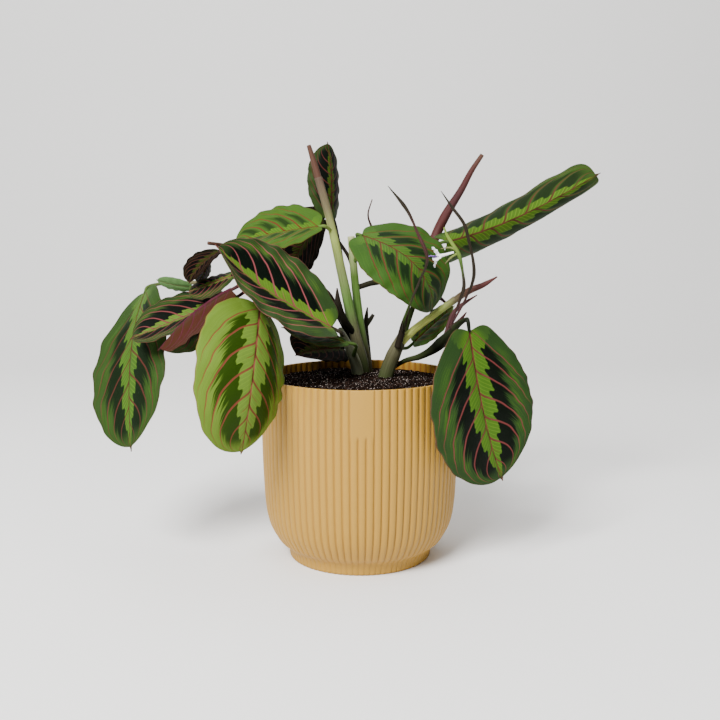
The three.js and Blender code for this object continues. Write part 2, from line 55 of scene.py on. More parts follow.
# ---------- colours, as sRGB hex ----------
PALETTE = {
    "white": "#ffffff",
    "planter": "#a37b24",
    "planter_worn": "#99701f",
    # painted shade: a darker colour laid into the rib grooves and down the inner wall
    "planter_painted_shade": "#835418",
    "soil": "#160e0b",
    "soil_dark": "#060403",
    "soil_brown": "#35261f",
    "soil_speck": "#c9bab0",
    "deep": "#232b17",
    "grey_green": "#4c4a35",
    "moss": "#435a29",
    "fresh": "#4b662b",
    "lime": "#92a154",
    "sage": "#717d4d",
    "straw": "#665f46",
    "rust": "#4f372d",
    "umber": "#28221a",
    # painted shade: near black, for stretches of stalk that lie in shade
    "night": "#0b0e08",
    # painted light: a light grey-green that brightens the front stalk where the leaf above shades it
    "ash": "#7d836a",
    "taupe": "#65624a",
    "leafy": "#587a3a",
    "pith": "#a8ad7c",
    "bark": "#54443a",
    "dusk_green": "#3b4327",
    # partly the pale branch's own green and partly painted light, lightened where leaves above shade it
    "sprig": "#c8d271",
    "wine": "#432829",
    "rose": "#4b2a28",
    "bud": "#6f8438",
    "fibre": "#9c8f86",
    "fleck": "#8a7c74",
    "petal": "#f6f3f8",
    "petal_vein": "#dcd3e4",
    "lilac": "#8b66b8",
    "pale_line": "#6f8f2a",
    "studio": "#f4f3f1",
    "studio_cloud": "#e9e8e6",
}

# Each upper face's material name, its colours, which are ground, edge, blotch, band, side veins and
# midrib, and what differs from leaf_material()'s usual settings.
UPPER_FACES = {
    "dark": ("leaf_dark_green", "#1f3317 #283f1c #070d06 #3f6119 #66302f #572523", {}),
    "middle": ("leaf_middle_green", "#203312 #2a3f1a #0a140a #36541a #4a241f #401d19", {"strength": 0.9}),
    "pink": ("leaf_pink_veined", "#223419 #2c401f #060d07 #50701f #864447 #79373b", {"band_share": 0.72}),
    "level": ("leaf_level_green", "#1b2b11 #243616 #050a05 #46601f #673132 #5d292c", {"band_share": 0.75}),
    "bright": ("leaf_bright_green", "#304a16 #39551b #102106 #3c5c15 #5a2018 #4e180f",
               {"strength": 0.85, "band_share": 0.7, "islands": 1.0}),
    "fresh": ("leaf_fresh_green", "#294316 #314d1b #0c1c0a #355419 #55261d #4d2119",
              {"strength": 0.92, "band_share": 0.9, "islands": 0.6}),
    "lime": ("leaf_lime_green", "#536b20 #5c7529 #213508 #587229 #6c3427 #612c25", {}),
    "raised": ("leaf_raised_green", "#263815 #2e441b #0c150b #3a5615 #4d251f #421d19",
               {"strength": 0.75, "band_share": 0.72, "islands": 0.5, "rough": 0.5, "shine": 0.2}),
    "shadow": ("leaf_shadow_green", "#1f2d12 #263716 #070c07 #2a3f10 #4a2220 #401b1a", {"band_share": 0.6}),
    # painted shade: near-black colours for leaves that lie in shade
    "night": ("leaf_shaded", "#0c0a05 #120f08 #050403 #161808 #3a201a #331b16",
              {"rough": 0.6, "shine": 0.12}),
}
# A young leaf's ground, edge and midrib.
YOUNG_COLOURS = "#466437 #527142 #565033"
# Each underside's ground, flush and veins.
UNDER_FACES = {
    "red": "#2c120d #381a13 #300e13",
    "green": "#2a4417 #263b14 #384521",
    # painted shade: a near-black underside for leaves that lie in shade
    "dusk": "#130c08 #1a100b #251511",
    "olive": "#3a1a14 #352113 #451628",
    "blush": "#81453b #8c5448 #6b3030",
    "pale": "#3a5e27 #42662e #4c4329",
}
# The upper face and the underside of each look that a leaf can have.
UNDER_OF = {"bright": "green", "lime": "green", "night": "dusk"}
LEAF_LOOKS = {look: (look, UNDER_OF.get(look, "red")) for look in UPPER_FACES}
LEAF_LOOKS.update(olive=("shadow", "olive"), blush=("shadow", "blush"), pale=("young", "pale"))


def linear(name):
    """A palette colour, or a hex colour, as linear RGBA."""
    text = PALETTE.get(name, name)
    channels = [int(text[i:i + 2], 16) / 255 for i in (1, 3, 5)]
    return [c / 12.92 if c <= 0.04045 else ((c + 0.055) / 1.055) ** 2.4 for c in channels] + [1.0]


# ---------- shader graphs ----------
# Sockets of a Mix node that mixes colours: factor, first colour and second colour, and the result.
MIX_INPUTS = (0, 6, 7)
MIX_RESULT = 2


class Graph:
    """A material's node tree, with short calls for the nodes that these materials use."""

    def __init__(self, name):
        self.material = bpy.data.materials.new(name)
        self.material.use_nodes = True
        self.tree = self.material.node_tree
        self.tree.nodes.clear()

    def node(self, kind, inputs=(), **settings):
        """A node with these settings. inputs are values or other nodes' sockets, by name or number."""
        made = self.tree.nodes.new(kind)
        for key, value in settings.items():
            setattr(made, key, value)
        for key, value in dict(inputs).items():
            if isinstance(value, bpy.types.NodeSocket):
                self.tree.links.new(value, made.inputs[key])
            elif value is not None:
                made.inputs[key].default_value = value
        return made

    def math(self, operation, *values):
        return self.node("ShaderNodeMath", enumerate(values), operation=operation).outputs[0]

    add = partialmethod(math, "ADD")
    minus = partialmethod(math, "SUBTRACT")
    times = partialmethod(math, "MULTIPLY")
    ratio = partialmethod(math, "DIVIDE")

    def lift(self, base, value, factor):
        """base, raised by factor times value."""
        return self.math("MULTIPLY_ADD", value, factor, base)

    def between(self, value, low, high):
        """low where value is 0, and high where it is 1."""
        return self.lift(low, value, high - low)

    def to_whole(self, value):
        """Distance to the nearest whole number."""
        return self.math("PINGPONG", value, 0.5)

    def step(self, value, low, high):
        """0 below low, 1 above high, smooth between."""
        inputs = {"Value": value, "From Min": low, "From Max": high}
        return self.node("ShaderNodeMapRange", inputs, interpolation_type="SMOOTHSTEP").outputs["Result"]

    def drop(self, value, low, high):
        """1 below low, 0 above high, smooth between."""
        return self.minus(1, self.step(value, low, high))

    def ramp(self, value, stops):
        """A piecewise line through (position, height) stops."""
        made = self.node("ShaderNodeFloatCurve", {"Value": value})
        curve = made.mapping.curves[0]
        curve.points[0].location = stops[0]
        curve.points[1].location = stops[-1]
        for stop in stops[1:-1]:
            curve.points.new(*stop)
        for point in curve.points:
            point.handle_type = "VECTOR"
        made.mapping.update()
        return made.outputs[0]

    def mix(self, factor, first, second, blend="MIX"):
        colours = [linear(value) if isinstance(value, str) else value for value in (first, second)]
        inputs = zip(MIX_INPUTS, [factor] + colours)
        return self.node("ShaderNodeMix", inputs, data_type="RGBA", blend_type=blend).outputs[MIX_RESULT]

    def lay(self, colour, over, mask, share):
        """colour, with over laid on it by share where mask is 1."""
        return self.mix(self.times(mask, share), colour, over)

    def tint(self, first, second):
        """Two colours multiplied."""
        return self.mix(1.0, first, second, blend="MULTIPLY")

    def attribute(self, name):
        return self.node("ShaderNodeAttribute", attribute_name=name).outputs

    def split(self, name):
        return self.node("ShaderNodeSeparateXYZ", {0: self.attribute(name)["Vector"]}).outputs

    def join(self, *parts):
        return self.node("ShaderNodeCombineXYZ", enumerate(parts)).outputs[0]

    def noise(self, vector=None, scale=5.0, detail=2.0, roughness=0.5):
        if vector is None:
            vector = self.node("ShaderNodeTexCoord").outputs["Object"]
        inputs = {"Vector": vector, "Scale": scale, "Detail": detail, "Roughness": roughness}
        return self.node("ShaderNodeTexNoise", inputs).outputs["Fac"]

    def bump(self, height, strength, distance):
        """distance in mm."""
        inputs = {"Strength": strength, "Distance": distance * MM, "Height": height}
        return self.node("ShaderNodeBump", inputs).outputs[0]

    def finish(self, colour, roughness, normal=None, **constants):
        inputs = {"Base Color": colour, "Roughness": roughness, "Normal": normal}
        inputs.update((key.replace("_", " "), value) for key, value in constants.items())
        shader = self.node("ShaderNodeBsdfPrincipled", inputs)
        self.node("ShaderNodeOutputMaterial", {"Surface": shader.outputs[0]})
        return self.material

    def finish_plant(self, colour, roughness, normal, shine=PLANT_SHINE, ior=LEAF_IOR):
        return self.finish(colour, roughness, normal, IOR=ior, Specular_IOR_Level=shine)


def planter_material():
    g = Graph("planter")
    grain = g.noise(scale=900, detail=3)
    cloud = g.noise(scale=18, detail=2)
    # The finish attribute's first value is painted shade: it darkens the rib grooves and the inside of the
    # pot.
    deep, _, _ = g.split("finish")
    colour = g.lay("planter", "planter_worn", cloud, 0.22)
    colour = g.mix(deep, colour, "planter_painted_shade")
    normal = g.bump(grain, strength=0.25, distance=0.12)
    return g.finish(colour, g.between(grain, 0.46, 0.58), normal, Specular_IOR_Level=0.42)


def soil_material():
    g = Graph("soil")
    brown, speck, _ = g.split("finish")
    fine = g.noise(scale=700, detail=6, roughness=0.7)
    lumps = g.noise(scale=160, detail=4, roughness=0.6)
    tone = g.step(g.add(g.times(fine, 0.6), g.times(lumps, 0.5)), 0.35, 0.75)
    colour = g.mix(tone, "soil_dark", "soil")
    colour = g.mix(brown, colour, "soil_brown")
    colour = g.mix(speck, colour, "soil_speck")
    normal = g.bump(g.add(fine, lumps), strength=0.9, distance=0.8)
    return g.finish(colour, 0.9, normal, IOR=1.12, Specular_IOR_Level=0.2)


# ---------- the leaf pattern ----------
# Curves of (place, height) stops. ACROSS runs from midrib to edge, ALONG from stalk to tip, CELL from
# one side vein to the next, and SPAN is the half width over WIDE_SPAN.
WIDE_SPAN = 50
VEIN_ACROSS = [(0, 0.78), (0.45, 0.68), (0.75, 0.5), (0.92, 0.28), (1, 0.14)]
VEIN_ALONG = [(0, 0.7), (0.2, 0.95), (0.7, 0.95), (0.9, 0.6), (1, 0.4)]
VEIN_BY_SPAN = [(0, 0.3), (0.3, 0.62), (0.7, 1), (1, 1)]
VEIN_FADE_ACROSS = [(0, 1), (0.85, 0.9), (0.96, 0.15), (1, 0)]
MIDRIB_ALONG = [(0, 0.95), (0.5, 0.62), (1, 0.25)]
BAND_OVER_CELL = [(0, 0.3), (0.15, 0.31), (0.34, 0.325), (0.5, 0.34), (0.57, 0.325), (0.62, 0.225),
                  (0.7, 0.205), (0.85, 0.245), (1, 0.3)]
BAND_ALONG = [(0, 1.0), (0.1, 1), (0.2, 0.92), (0.5, 0.84), (0.75, 0.62), (0.9, 0.42), (1, 0.2)]
# Each mask's fade, as (start, end). VEIN_EDGE and MIDRIB_EDGE are shares of the vein's thickness,
# SHORT_VEIN_EDGE is mm, and the others are places in a cell, across or along, or heights of a noise.
VEIN_EDGE = (0.6, 1.2)
VEIN_START = (-0.45, -0.1)
MIDRIB_EDGE = (0.65, 1.25)
SHORT_VEIN_EDGE = (0.16, 0.4)
SHORT_VEIN_END = (0.1, 0.2)
SHORT_VEIN_CHANCE = (0.45, 0.55)
BAND_BASE = (0.02, 0.13)
BAND_EDGE = (-0.01, 0.012)
BLOTCH_EDGE = (-0.06, 0.07)
BLOTCH_START = (0.0, 0.35)
BLOTCH_END = (0.86, 0.95)
GLOW_START = (-0.02, 0.06)
GLOW_END = (0.08, 0.3)
GLOW_CHANCE = (0.42, 0.68)
GLOW_BASE = (0.1, 0.2)
FINE_EDGE = (0.03, 0.16)
MARGIN = (0.975, 0.995)
# A short vein's place in its cell, and how strong it is.
SHORT_VEIN_PLACE = 0.52
SHORT_VEIN_SHARE = 0.75
# The band's edge: teeth between two side veins and their size, its least and most size, and how far
# it spreads at the leaf's base.
TEETH = 4.6
TOOTH_SIZE = 0.04
TOOTH_SHIFT = 0.1
BAND_SIZES = (0.85, 1.27)
BAND_SPREAD = 0.8
# How far out a blotch reaches, least and most, and what streaks and side veins change of it.
BLOTCH_REACH = (0.47, 0.73)
BLOTCH_STREAK = 0.5
BLOTCH_BULGE = 0.05
BLOTCH_NARROWING = -0.18
# Fine lines, streaks and hairs between two side veins, and their rate across.
FINE_LINES = 5.5
STREAKS = (14, 2.2)
HAIRS = (26, 3)
WOBBLE_SCALE = 3.7
WOBBLE_SEED = 1.3


def vein_mask(g, p):
    """Side veins, the midrib, and short veins that start between two side veins."""
    thick = g.times(g.ramp(p.across, VEIN_ACROSS), g.ramp(p.along, VEIN_ALONG))
    thick = g.times(thick, g.ramp(g.ratio(p.span, WIDE_SPAN), VEIN_BY_SPAN))
    side_vein = g.drop(g.ratio(g.times(g.to_whole(p.phase), p.pitch), thick), *VEIN_EDGE)
    fade = g.times(g.step(p.phase, *VEIN_START), g.ramp(p.across, VEIN_FADE_ACROSS))
    side_vein = g.times(side_vein, fade)
    midrib = g.ratio(g.times(p.across, p.span), g.ramp(p.along, MIDRIB_ALONG))
    midrib = g.drop(midrib, *MIDRIB_EDGE)
    short = g.times(g.math("ABSOLUTE", g.minus(p.cell, SHORT_VEIN_PLACE)), p.pitch)
    short = g.times(g.drop(short, *SHORT_VEIN_EDGE), g.drop(p.across, *SHORT_VEIN_END))
    short = g.times(short, g.times(g.step(p.wobble, *SHORT_VEIN_CHANCE), SHORT_VEIN_SHARE))
    return g.math("MAXIMUM", g.math("MAXIMUM", side_vein, midrib), short)


def band_mask(g, p, band_share):
    """The light band. Its edge is widest halfway between two side veins, then steps back sharply."""
    shifted = g.add(p.cell, g.times(g.minus(p.wobble, 0.5), TOOTH_SHIFT))
    edge = g.ramp(shifted, BAND_OVER_CELL)
    edge = g.lift(edge, g.to_whole(g.lift(p.wobble, p.cell, TEETH)), TOOTH_SIZE)
    edge = g.times(edge, g.between(p.wobble, *BAND_SIZES))
    edge = g.times(edge, g.times(g.ramp(p.along, BAND_ALONG), band_share))
    edge = g.lift(edge, g.drop(p.along, *BAND_BASE), BAND_SPREAD)
    return g.drop(g.minus(p.across, edge), *BAND_EDGE)


def streaks(g, p, per_vein, rate_across):
    """Noise drawn out along the side veins."""
    place = g.join(g.times(p.phase, per_vein), g.times(p.across, rate_across), p.own)
    return g.noise(place, scale=1, detail=3)


def blotch_masks(g, p, islands):
    """The dark blotches between side veins, and the glow outside them."""
    streak = streaks(g, p, *STREAKS)
    reach = g.lift(g.between(p.wobble, *BLOTCH_REACH), g.minus(streak, 0.5), BLOTCH_STREAK)
    reach = g.lift(g.add(reach, BLOTCH_BULGE), g.to_whole(p.cell), BLOTCH_NARROWING)
    outer = g.minus(p.across, reach)
    blotch = g.times(g.drop(outer, *BLOTCH_EDGE), g.step(p.phase, *BLOTCH_START))
    if islands:
        blotch = g.times(blotch, g.step(g.to_whole(p.cell), 0.1 * islands, 0.001 + 0.42 * islands))
    blotch = g.times(blotch, g.drop(p.along, *BLOTCH_END))
    glow = g.times(g.step(outer, *GLOW_START), g.drop(outer, *GLOW_END))
    return blotch, g.times(glow, g.times(g.step(streak, *GLOW_CHANCE), g.step(p.along, *GLOW_BASE)))


def leaf_pattern(g, band_share=1.0, islands=0.0):
    """Masks of the vein pattern, from the attributes that leaf_mesh() writes.

    phase counts side veins from the base, across runs from 0 at the midrib to 1 at the edge, and along
    from 0 at the stalk to 1 at the tip. pitch is the distance between side veins and span the distance
    from midrib to edge, both in mm. band_share scales the light band, and islands above 0 parts the dark
    blotches from the side veins.
    """
    p = SimpleNamespace()
    p.phase, p.across, p.along = g.split("vein")
    p.pitch, p.span, p.own = g.split("span")
    p.place = g.join(p.across, p.along, p.own)
    p.cell = g.math("FRACT", p.phase)
    vein_number = g.math("FLOOR", p.phase)
    p.wobble = g.noise(g.join(vein_number, p.own, WOBBLE_SEED), scale=WOBBLE_SCALE, detail=0)
    p.vein = vein_mask(g, p)
    p.band = band_mask(g, p, band_share)
    p.blotch, p.glow = blotch_masks(g, p, islands)
    p.fine = g.drop(g.to_whole(g.times(p.phase, FINE_LINES)), *FINE_EDGE)
    p.hair = streaks(g, p, *HAIRS)
    return p


def leaf_material(name, colours, strength=1.0, band_share=1.0, islands=0.0, rough=0.42,
                  shine=PLANT_SHINE):
    """A patterned upper face. strength is how dark the blotches are."""
    ground, edge, blotch, band, vein, midrib = colours.split()
    g = Graph(name)
    p = leaf_pattern(g, band_share, islands)
    cloud = g.noise(p.place, scale=3, detail=3)
    colour = g.mix(g.step(p.hair, 0.3, 0.72), ground, edge)
    colour = g.lay(colour, edge, g.step(cloud, 0.35, 0.8), 0.5)
    colour = g.lay(colour, band, p.glow, 0.6)
    colour = g.lay(colour, blotch, p.blotch, strength)
    light = g.lay(band, "pale_line", p.fine, 0.3)
    light = g.lay(light, ground, g.step(cloud, 0.4, 0.8), 0.25)
    light = g.lay(light, edge, g.step(p.across, 0.3, 0.75), 0.85)
    colour = g.mix(p.band, colour, light)
    colour = g.lay(colour, vein, g.step(p.across, *MARGIN), 0.5)
    veins = g.mix(g.step(p.across, 0.03, 0.25), midrib, vein)
    colour = g.lay(colour, veins, p.vein, 0.95)
    height = g.lift(g.times(p.hair, 0.45), p.vein, -0.6)
    height = g.lift(height, p.fine, -0.15)
    normal = g.bump(height, strength=0.5, distance=0.35)
    rough = g.between(p.hair, rough, rough + 0.16)
    return g.finish_plant(colour, rough, normal, shine)


def young_leaf_material(name, colours):
    """A young leaf with no pattern, only fine side veins and a coloured midrib."""
    ground, edge, midrib = colours.split()
    g = Graph(name)
    p = leaf_pattern(g)
    colour = g.mix(g.step(p.hair, 0.3, 0.75), ground, edge)
    colour = g.lay(colour, edge, p.fine, 0.25)
    colour = g.lay(colour, midrib, g.drop(p.across, 0.02, 0.12), 0.7)
    normal = g.bump(g.add(p.hair, p.fine), strength=0.3, distance=0.25)
    return g.finish_plant(colour, 0.45, normal)


def underside_material(name, colours):
    ground, flush, vein = colours.split()
    g = Graph(name)
    p = leaf_pattern(g)
    cloud = g.noise(p.place, scale=4, detail=3)
    colour = g.mix(g.step(cloud, 0.3, 0.75), ground, flush)
    colour = g.lay(colour, flush, p.band, 0.35)
    colour = g.lay(colour, vein, p.vein, 0.75)
    normal = g.bump(g.lift(g.times(p.hair, 0.4), p.vein, 0.8), strength=0.5, distance=0.35)
    return g.finish_plant(colour, g.between(p.hair, 0.45, 0.6), normal)


def leaf_looks():
    """Upper and under material of each look."""
    upper = {key: leaf_material(name, colours, **settings)
             for key, (name, colours, settings) in UPPER_FACES.items()}
    upper["young"] = young_leaf_material("leaf_pale_green", YOUNG_COLOURS)
    under = {key: underside_material("underside_" + key, colours) for key, colours in UNDER_FACES.items()}
    return {look: (upper[top], under[bottom]) for look, (top, bottom) in LEAF_LOOKS.items()}


def stalk_material():
    """Coloured by each vertex's skin colour, darkened by lengthwise fibres and by flecks."""
    g = Graph("stalk")
    around, along, own = g.split("fibre")
    fibre = g.noise(g.join(g.times(around, 7), g.times(along, 0.05), own), scale=1, detail=4)
    fleck = g.noise(scale=1300, detail=2)
    shade = g.lay("white", "fibre", g.step(fibre, 0.42, 0.75), 0.6)
    shade = g.lay(shade, "fleck", g.step(fleck, 0.62, 0.75), 0.2)
    colour = g.tint(g.attribute("skin")["Color"], shade)
    normal = g.bump(fibre, strength=0.5, distance=0.3)
    return g.finish_plant(colour, g.between(fibre, 0.42, 0.62), normal, ior=STALK_IOR)


def flower_material():
    g = Graph("petals")
    along, side, own = g.split("fibre")
    vein = g.noise(g.join(g.times(side, 9), along, own), scale=1, detail=2)
    colour = g.tint(g.attribute("skin")["Color"], g.lay("petal", "petal_vein", vein, 0.25))
    return g.finish(colour, 0.55, g.bump(vein, strength=0.3, distance=0.2), Specular_IOR_Level=0.3)


def studio_material():
    g = Graph("studio")
    return g.finish(g.lay("studio", "studio_cloud", g.noise(scale=2, detail=2), 0.05), 0.9)


# ---------- meshes ----------
def put(name, data):
    made = bpy.data.objects.new(name, data)
    bpy.context.scene.collection.objects.link(made)
    return made


def mesh_object(name, points, faces, materials, slots=None, **attributes):
    """points in mm, faces as lists of indices, attributes as a vector or a colour for each point."""
    mesh = bpy.data.meshes.new(name)
    corners = (np.asarray(points, float) * MM).tolist()
    mesh.from_pydata(corners, [], [tuple(map(int, face)) for face in faces])
    for material in materials:
        mesh.materials.append(material)
    if slots is not None:
        mesh.polygons.foreach_set("material_index", np.asarray(slots, np.int32))
    mesh.polygons.foreach_set("use_smooth", np.full(len(mesh.polygons), True))
    for key, values in attributes.items():
        values = np.asarray(values, np.float32)
        is_colour = values.shape[-1] == 4
        layer = mesh.attributes.new(key, "FLOAT_COLOR" if is_colour else "FLOAT_VECTOR", "POINT")
        layer.data.foreach_set("color" if is_colour else "vector", values.ravel())
    mesh.update()
    return put(name, mesh)


def grid_faces(rows, columns, wrap=False, start=0, flip=False):
    """Quads between rows of columns points each."""
    i, j = np.meshgrid(np.arange(rows - 1), np.arange(columns if wrap else columns - 1), indexing="ij")
    here, there = i * columns, (i + 1) * columns
    after = (j + 1) % columns
    quads = np.stack([here + j, here + after, there + after, there + j], -1)
    quads = quads.reshape(-1, 4) + start
    return quads[:, ::-1] if flip else quads


def shell_faces(rows, columns):
    """The two faces of a thick sheet, whose grids follow each other, and the rim that joins them."""
    size = rows * columns
    rim = np.concatenate([np.arange(columns), np.arange(1, rows) * columns + columns - 1,
                          (rows - 1) * columns + np.arange(columns - 2, -1, -1),
                          np.arange(rows - 2, 0, -1) * columns])
    after = np.roll(rim, -1)
    edge = np.stack([after, rim, rim + size, after + size], 1)
    return grid_faces(rows, columns), grid_faces(rows, columns, start=size, flip=True), edge


def rotated(vector, axis, angle):
    axis = axis / np.linalg.norm(axis)
    cross = np.cross(axis, vector)
    turned = vector * math.cos(angle) + cross * math.sin(angle)
    return turned + axis * (axis @ vector) * (1 - math.cos(angle))


def triples(*parts):
    """Three arrays, broadcast together, as one row of three for each point."""
    return np.stack(np.broadcast_arrays(*parts), -1).reshape(-1, 3)


def unit(vector):
    return vector / np.linalg.norm(vector, axis=-1, keepdims=True)


def smoothstep(x, low, high):
    s = np.clip((x - low) / (high - low), 0, 1)
    return s * s * (3 - 2 * s)


def curve_through(points, count):
    """count points at equal distances along the centripetal Catmull-Rom curve, and its length."""
    p = np.asarray(points, float)
    p = np.vstack([2 * p[0] - p[1], p, 2 * p[-1] - p[-2]])
    s = np.linspace(0, 1, 24, endpoint=False)[:, None]
    dense = []
    for k in range(1, len(p) - 2):
        x0, x1, x2, x3 = p[k - 1:k + 3]
        d0, d1, d2 = (np.linalg.norm(b - a) ** 0.5 for a, b in ((x0, x1), (x1, x2), (x2, x3)))
        m1 = ((x1 - x0) / d0 - (x2 - x0) / (d0 + d1) + (x2 - x1) / d1) * d1
        m2 = ((x2 - x1) / d1 - (x3 - x1) / (d1 + d2) + (x3 - x2) / d2) * d1
        square = (-3 * x1 + 3 * x2 - 2 * m1 - m2) * s ** 2
        dense.append(x1 + m1 * s + square + (2 * x1 - 2 * x2 + m1 + m2) * s ** 3)
    dense = np.vstack(dense + [p[-2:-1]])
    length = np.concatenate([[0], np.cumsum(np.linalg.norm(np.diff(dense, axis=0), axis=1))])
    wanted = np.linspace(0, length[-1], count)
    return np.stack([np.interp(wanted, length, dense[:, k]) for k in range(3)], 1), length[-1]


def frames_along(path):
    """Normal and binormal at each point, carried along without twist."""
    tangents = unit(np.gradient(path, axis=0))
    normal = np.cross(tangents[0], [0.0, 1.0, 0.0])
    if np.linalg.norm(normal) < 0.2:
        normal = np.cross(tangents[0], [1.0, 0.0, 0.0])
    normals = [normal / np.linalg.norm(normal)]
    for tangent in tangents[1:]:
        normal = normals[-1] - tangent * (normals[-1] @ tangent)
        normals.append(normal / np.linalg.norm(normal))
    normals = np.array(normals)
    return normals, np.cross(tangents, normals)


TUBE_STEPS = 8
TUBE_RIBS = 5
SCROLL_STEPS = 10
SCROLL_SIDES = 44
SCROLL_THICKNESS = 0.35
SCROLL_TIGHTENING = 0.34
# What the inside of a scroll keeps of the outside's colour.
SCROLL_INSIDE = [0.8, 0.8, 0.8, 1]


class Rod:
    """A path at even steps, with its frames, and the radius and skin colour at each step."""

    def __init__(self, points, radii, shades, per_mm, least):
        _, length = curve_through(points, 2)
        self.count = max(int(length * per_mm), least)
        self.path, self.length = curve_through(points, self.count)
        self.normals, self.binormals = frames_along(self.path)
        self.u = np.linspace(0, 1, self.count)
        self.radius = np.interp(self.u, np.linspace(0, 1, len(radii)), radii)
        colours = np.array([linear(shade) for shade in shades])
        stops = np.linspace(0, 1, len(colours))
        self.colour = np.stack([np.interp(self.u, stops, colours[:, k]) for k in range(4)], 1)

    def ring(self, angle, shape=1.0):
        """Unit offsets from the path at each angle, for every step."""
        ring = (np.cos(angle) * shape)[None, :, None] * self.normals[:, None]
        return ring + (np.sin(angle) * shape)[None, :, None] * self.binormals[:, None]

    def fields(self, around, seed):
        """Fibre and skin values at every point of a grid around the path."""
        skin = np.repeat(self.colour[:, None], len(around), 1)
        return triples(around, (self.u * self.length)[:, None], seed), skin.reshape(-1, 4)


class Builder:
    """Gathers tubes, scrolls and petals into one mesh with fibre and skin attributes."""

    def __init__(self):
        self.points, self.faces, self.fibre, self.skin, self.count = [], [], [], [], 0

    def add(self, points, faces, fibre, skin):
        self.points.append(points)
        self.faces += [np.asarray(face) + self.count for face in faces]
        self.fibre.append(fibre)
        self.skin.append(skin)
        self.count += len(points)

    def tube(self, points, radii, shades, sides, per_mm=1.0, seed=0.0, ridge=0.0):
        """A closed round stalk. ridge raises low lengthwise ribs."""
        rod = Rod(points, radii, shades, per_mm, TUBE_STEPS)
        angle = np.linspace(0, 2 * math.pi, sides, endpoint=False)
        ring = rod.ring(angle, 1 + ridge * np.cos(angle * TUBE_RIBS))
        body = rod.path[:, None] + ring * rod.radius[:, None, None]
        fibre, skin = rod.fields(angle, seed)
        fibre = np.vstack([fibre, [[0, 0, seed], [0, rod.length, seed]]])
        first, last, top = rod.count * sides, rod.count * sides + 1, (rod.count - 1) * sides
        faces = list(grid_faces(rod.count, sides, wrap=True))
        faces += [[first, (k + 1) % sides, k] for k in range(sides)]
        faces += [[last, top + k, top + (k + 1) % sides] for k in range(sides)]
        self.add(np.vstack([body.reshape(-1, 3), rod.path[:1], rod.path[-1:]]), faces, fibre,
                 np.vstack([skin, skin[:1], skin[-1:]]))

    def scroll(self, points, radii, shades, turns, seed):
        """A leaf rolled into a scroll."""
        rod = Rod(points, radii, shades, 1.0, SCROLL_STEPS)
        s = np.linspace(0, 1, SCROLL_SIDES)
        angle = 2 * math.pi * turns * (s - 0.5)
        inward = 1 - SCROLL_TIGHTENING * np.clip(turns - 0.8, 0, 2) * s
        ring = rod.ring(angle)
        layers = []
        for offset in (0, -SCROLL_THICKNESS):
            reach = np.maximum(rod.radius[:, None] * inward + offset, 0.05)
            layers.append((rod.path[:, None] + ring * reach[..., None]).reshape(-1, 3))
        fibre, skin = rod.fields(angle * 0.6, seed)
        self.add(np.vstack(layers), np.vstack(shell_faces(rod.count, SCROLL_SIDES)),
                 np.vstack([fibre, fibre]), np.vstack([skin, skin * SCROLL_INSIDE]))

    def build(self, name, material):
        return mesh_object(name, np.vstack(self.points), self.faces, [material],
                           fibre=np.vstack(self.fibre), skin=np.vstack(self.skin))


# ---------- the planter ----------
RIBS = 82
RIB_SAMPLES = 10
RIB_DEPTH = 1.55
INSIDE_RIB_DEPTH = 1.2
FOOT_RIB_SHARE = 0.35
# Heights between which the ribs grow from the foot's depth to their full depth.
RIB_GROWTH = (6, 17)
POT_TURN = 1.2
PANEL_RIBS = 3
PANEL_HALF_ANGLE = PANEL_RIBS * 180 / RIBS
PANEL_BOTTOM = 100.0
POT_HEIGHT = 131.6
RIM_RADIUS = 70.0
WALL = 2.3
INNER_RADIUS = RIM_RADIUS - WALL
INSIDE_BOTTOM = 112.0
# Radius, height and rib share of the underside, which is raised a little inside the foot.
UNDERSIDE = [(0.0, 1.6, 0.0), (46.0, 1.6, 0.0), (47.0, 0.15, 0.0), (49.9, 0.0, 0.5)]
# Height and radius of the rib crests, up the foot and the round shoulder.
SIDE = [(0.9, 51.0), (3.0, 51.3), (6.0, 51.9), (8.5, 53.1), (10.2, 55.0), (11.6, 56.9), (13.2, 58.7),
        (18.0, 61.7), (24.0, 64.8), (32.0, 67.0), (42.0, 68.3), (54.0, 69.0), (70.0, 69.7), (90.0, 70.1),
        (112.0, 70.1), (130.6, 70.0)]
SIDE_ROWS = 84
# The rounded rim: out from the rim's radius, down from the top and rib share, then the same from the
# inner wall.
OUTER_LIP = [(-0.05, 0.45, 0.9), (-0.15, 0.2, 0.7), (-0.5, 0.0, 0.5)]
INNER_LIP = [(0.5, 0.0, 0.2), (0.15, 0.2, 0.5), (0.0, 0.9, 0.9)]
FLUTE_ROWS = 14


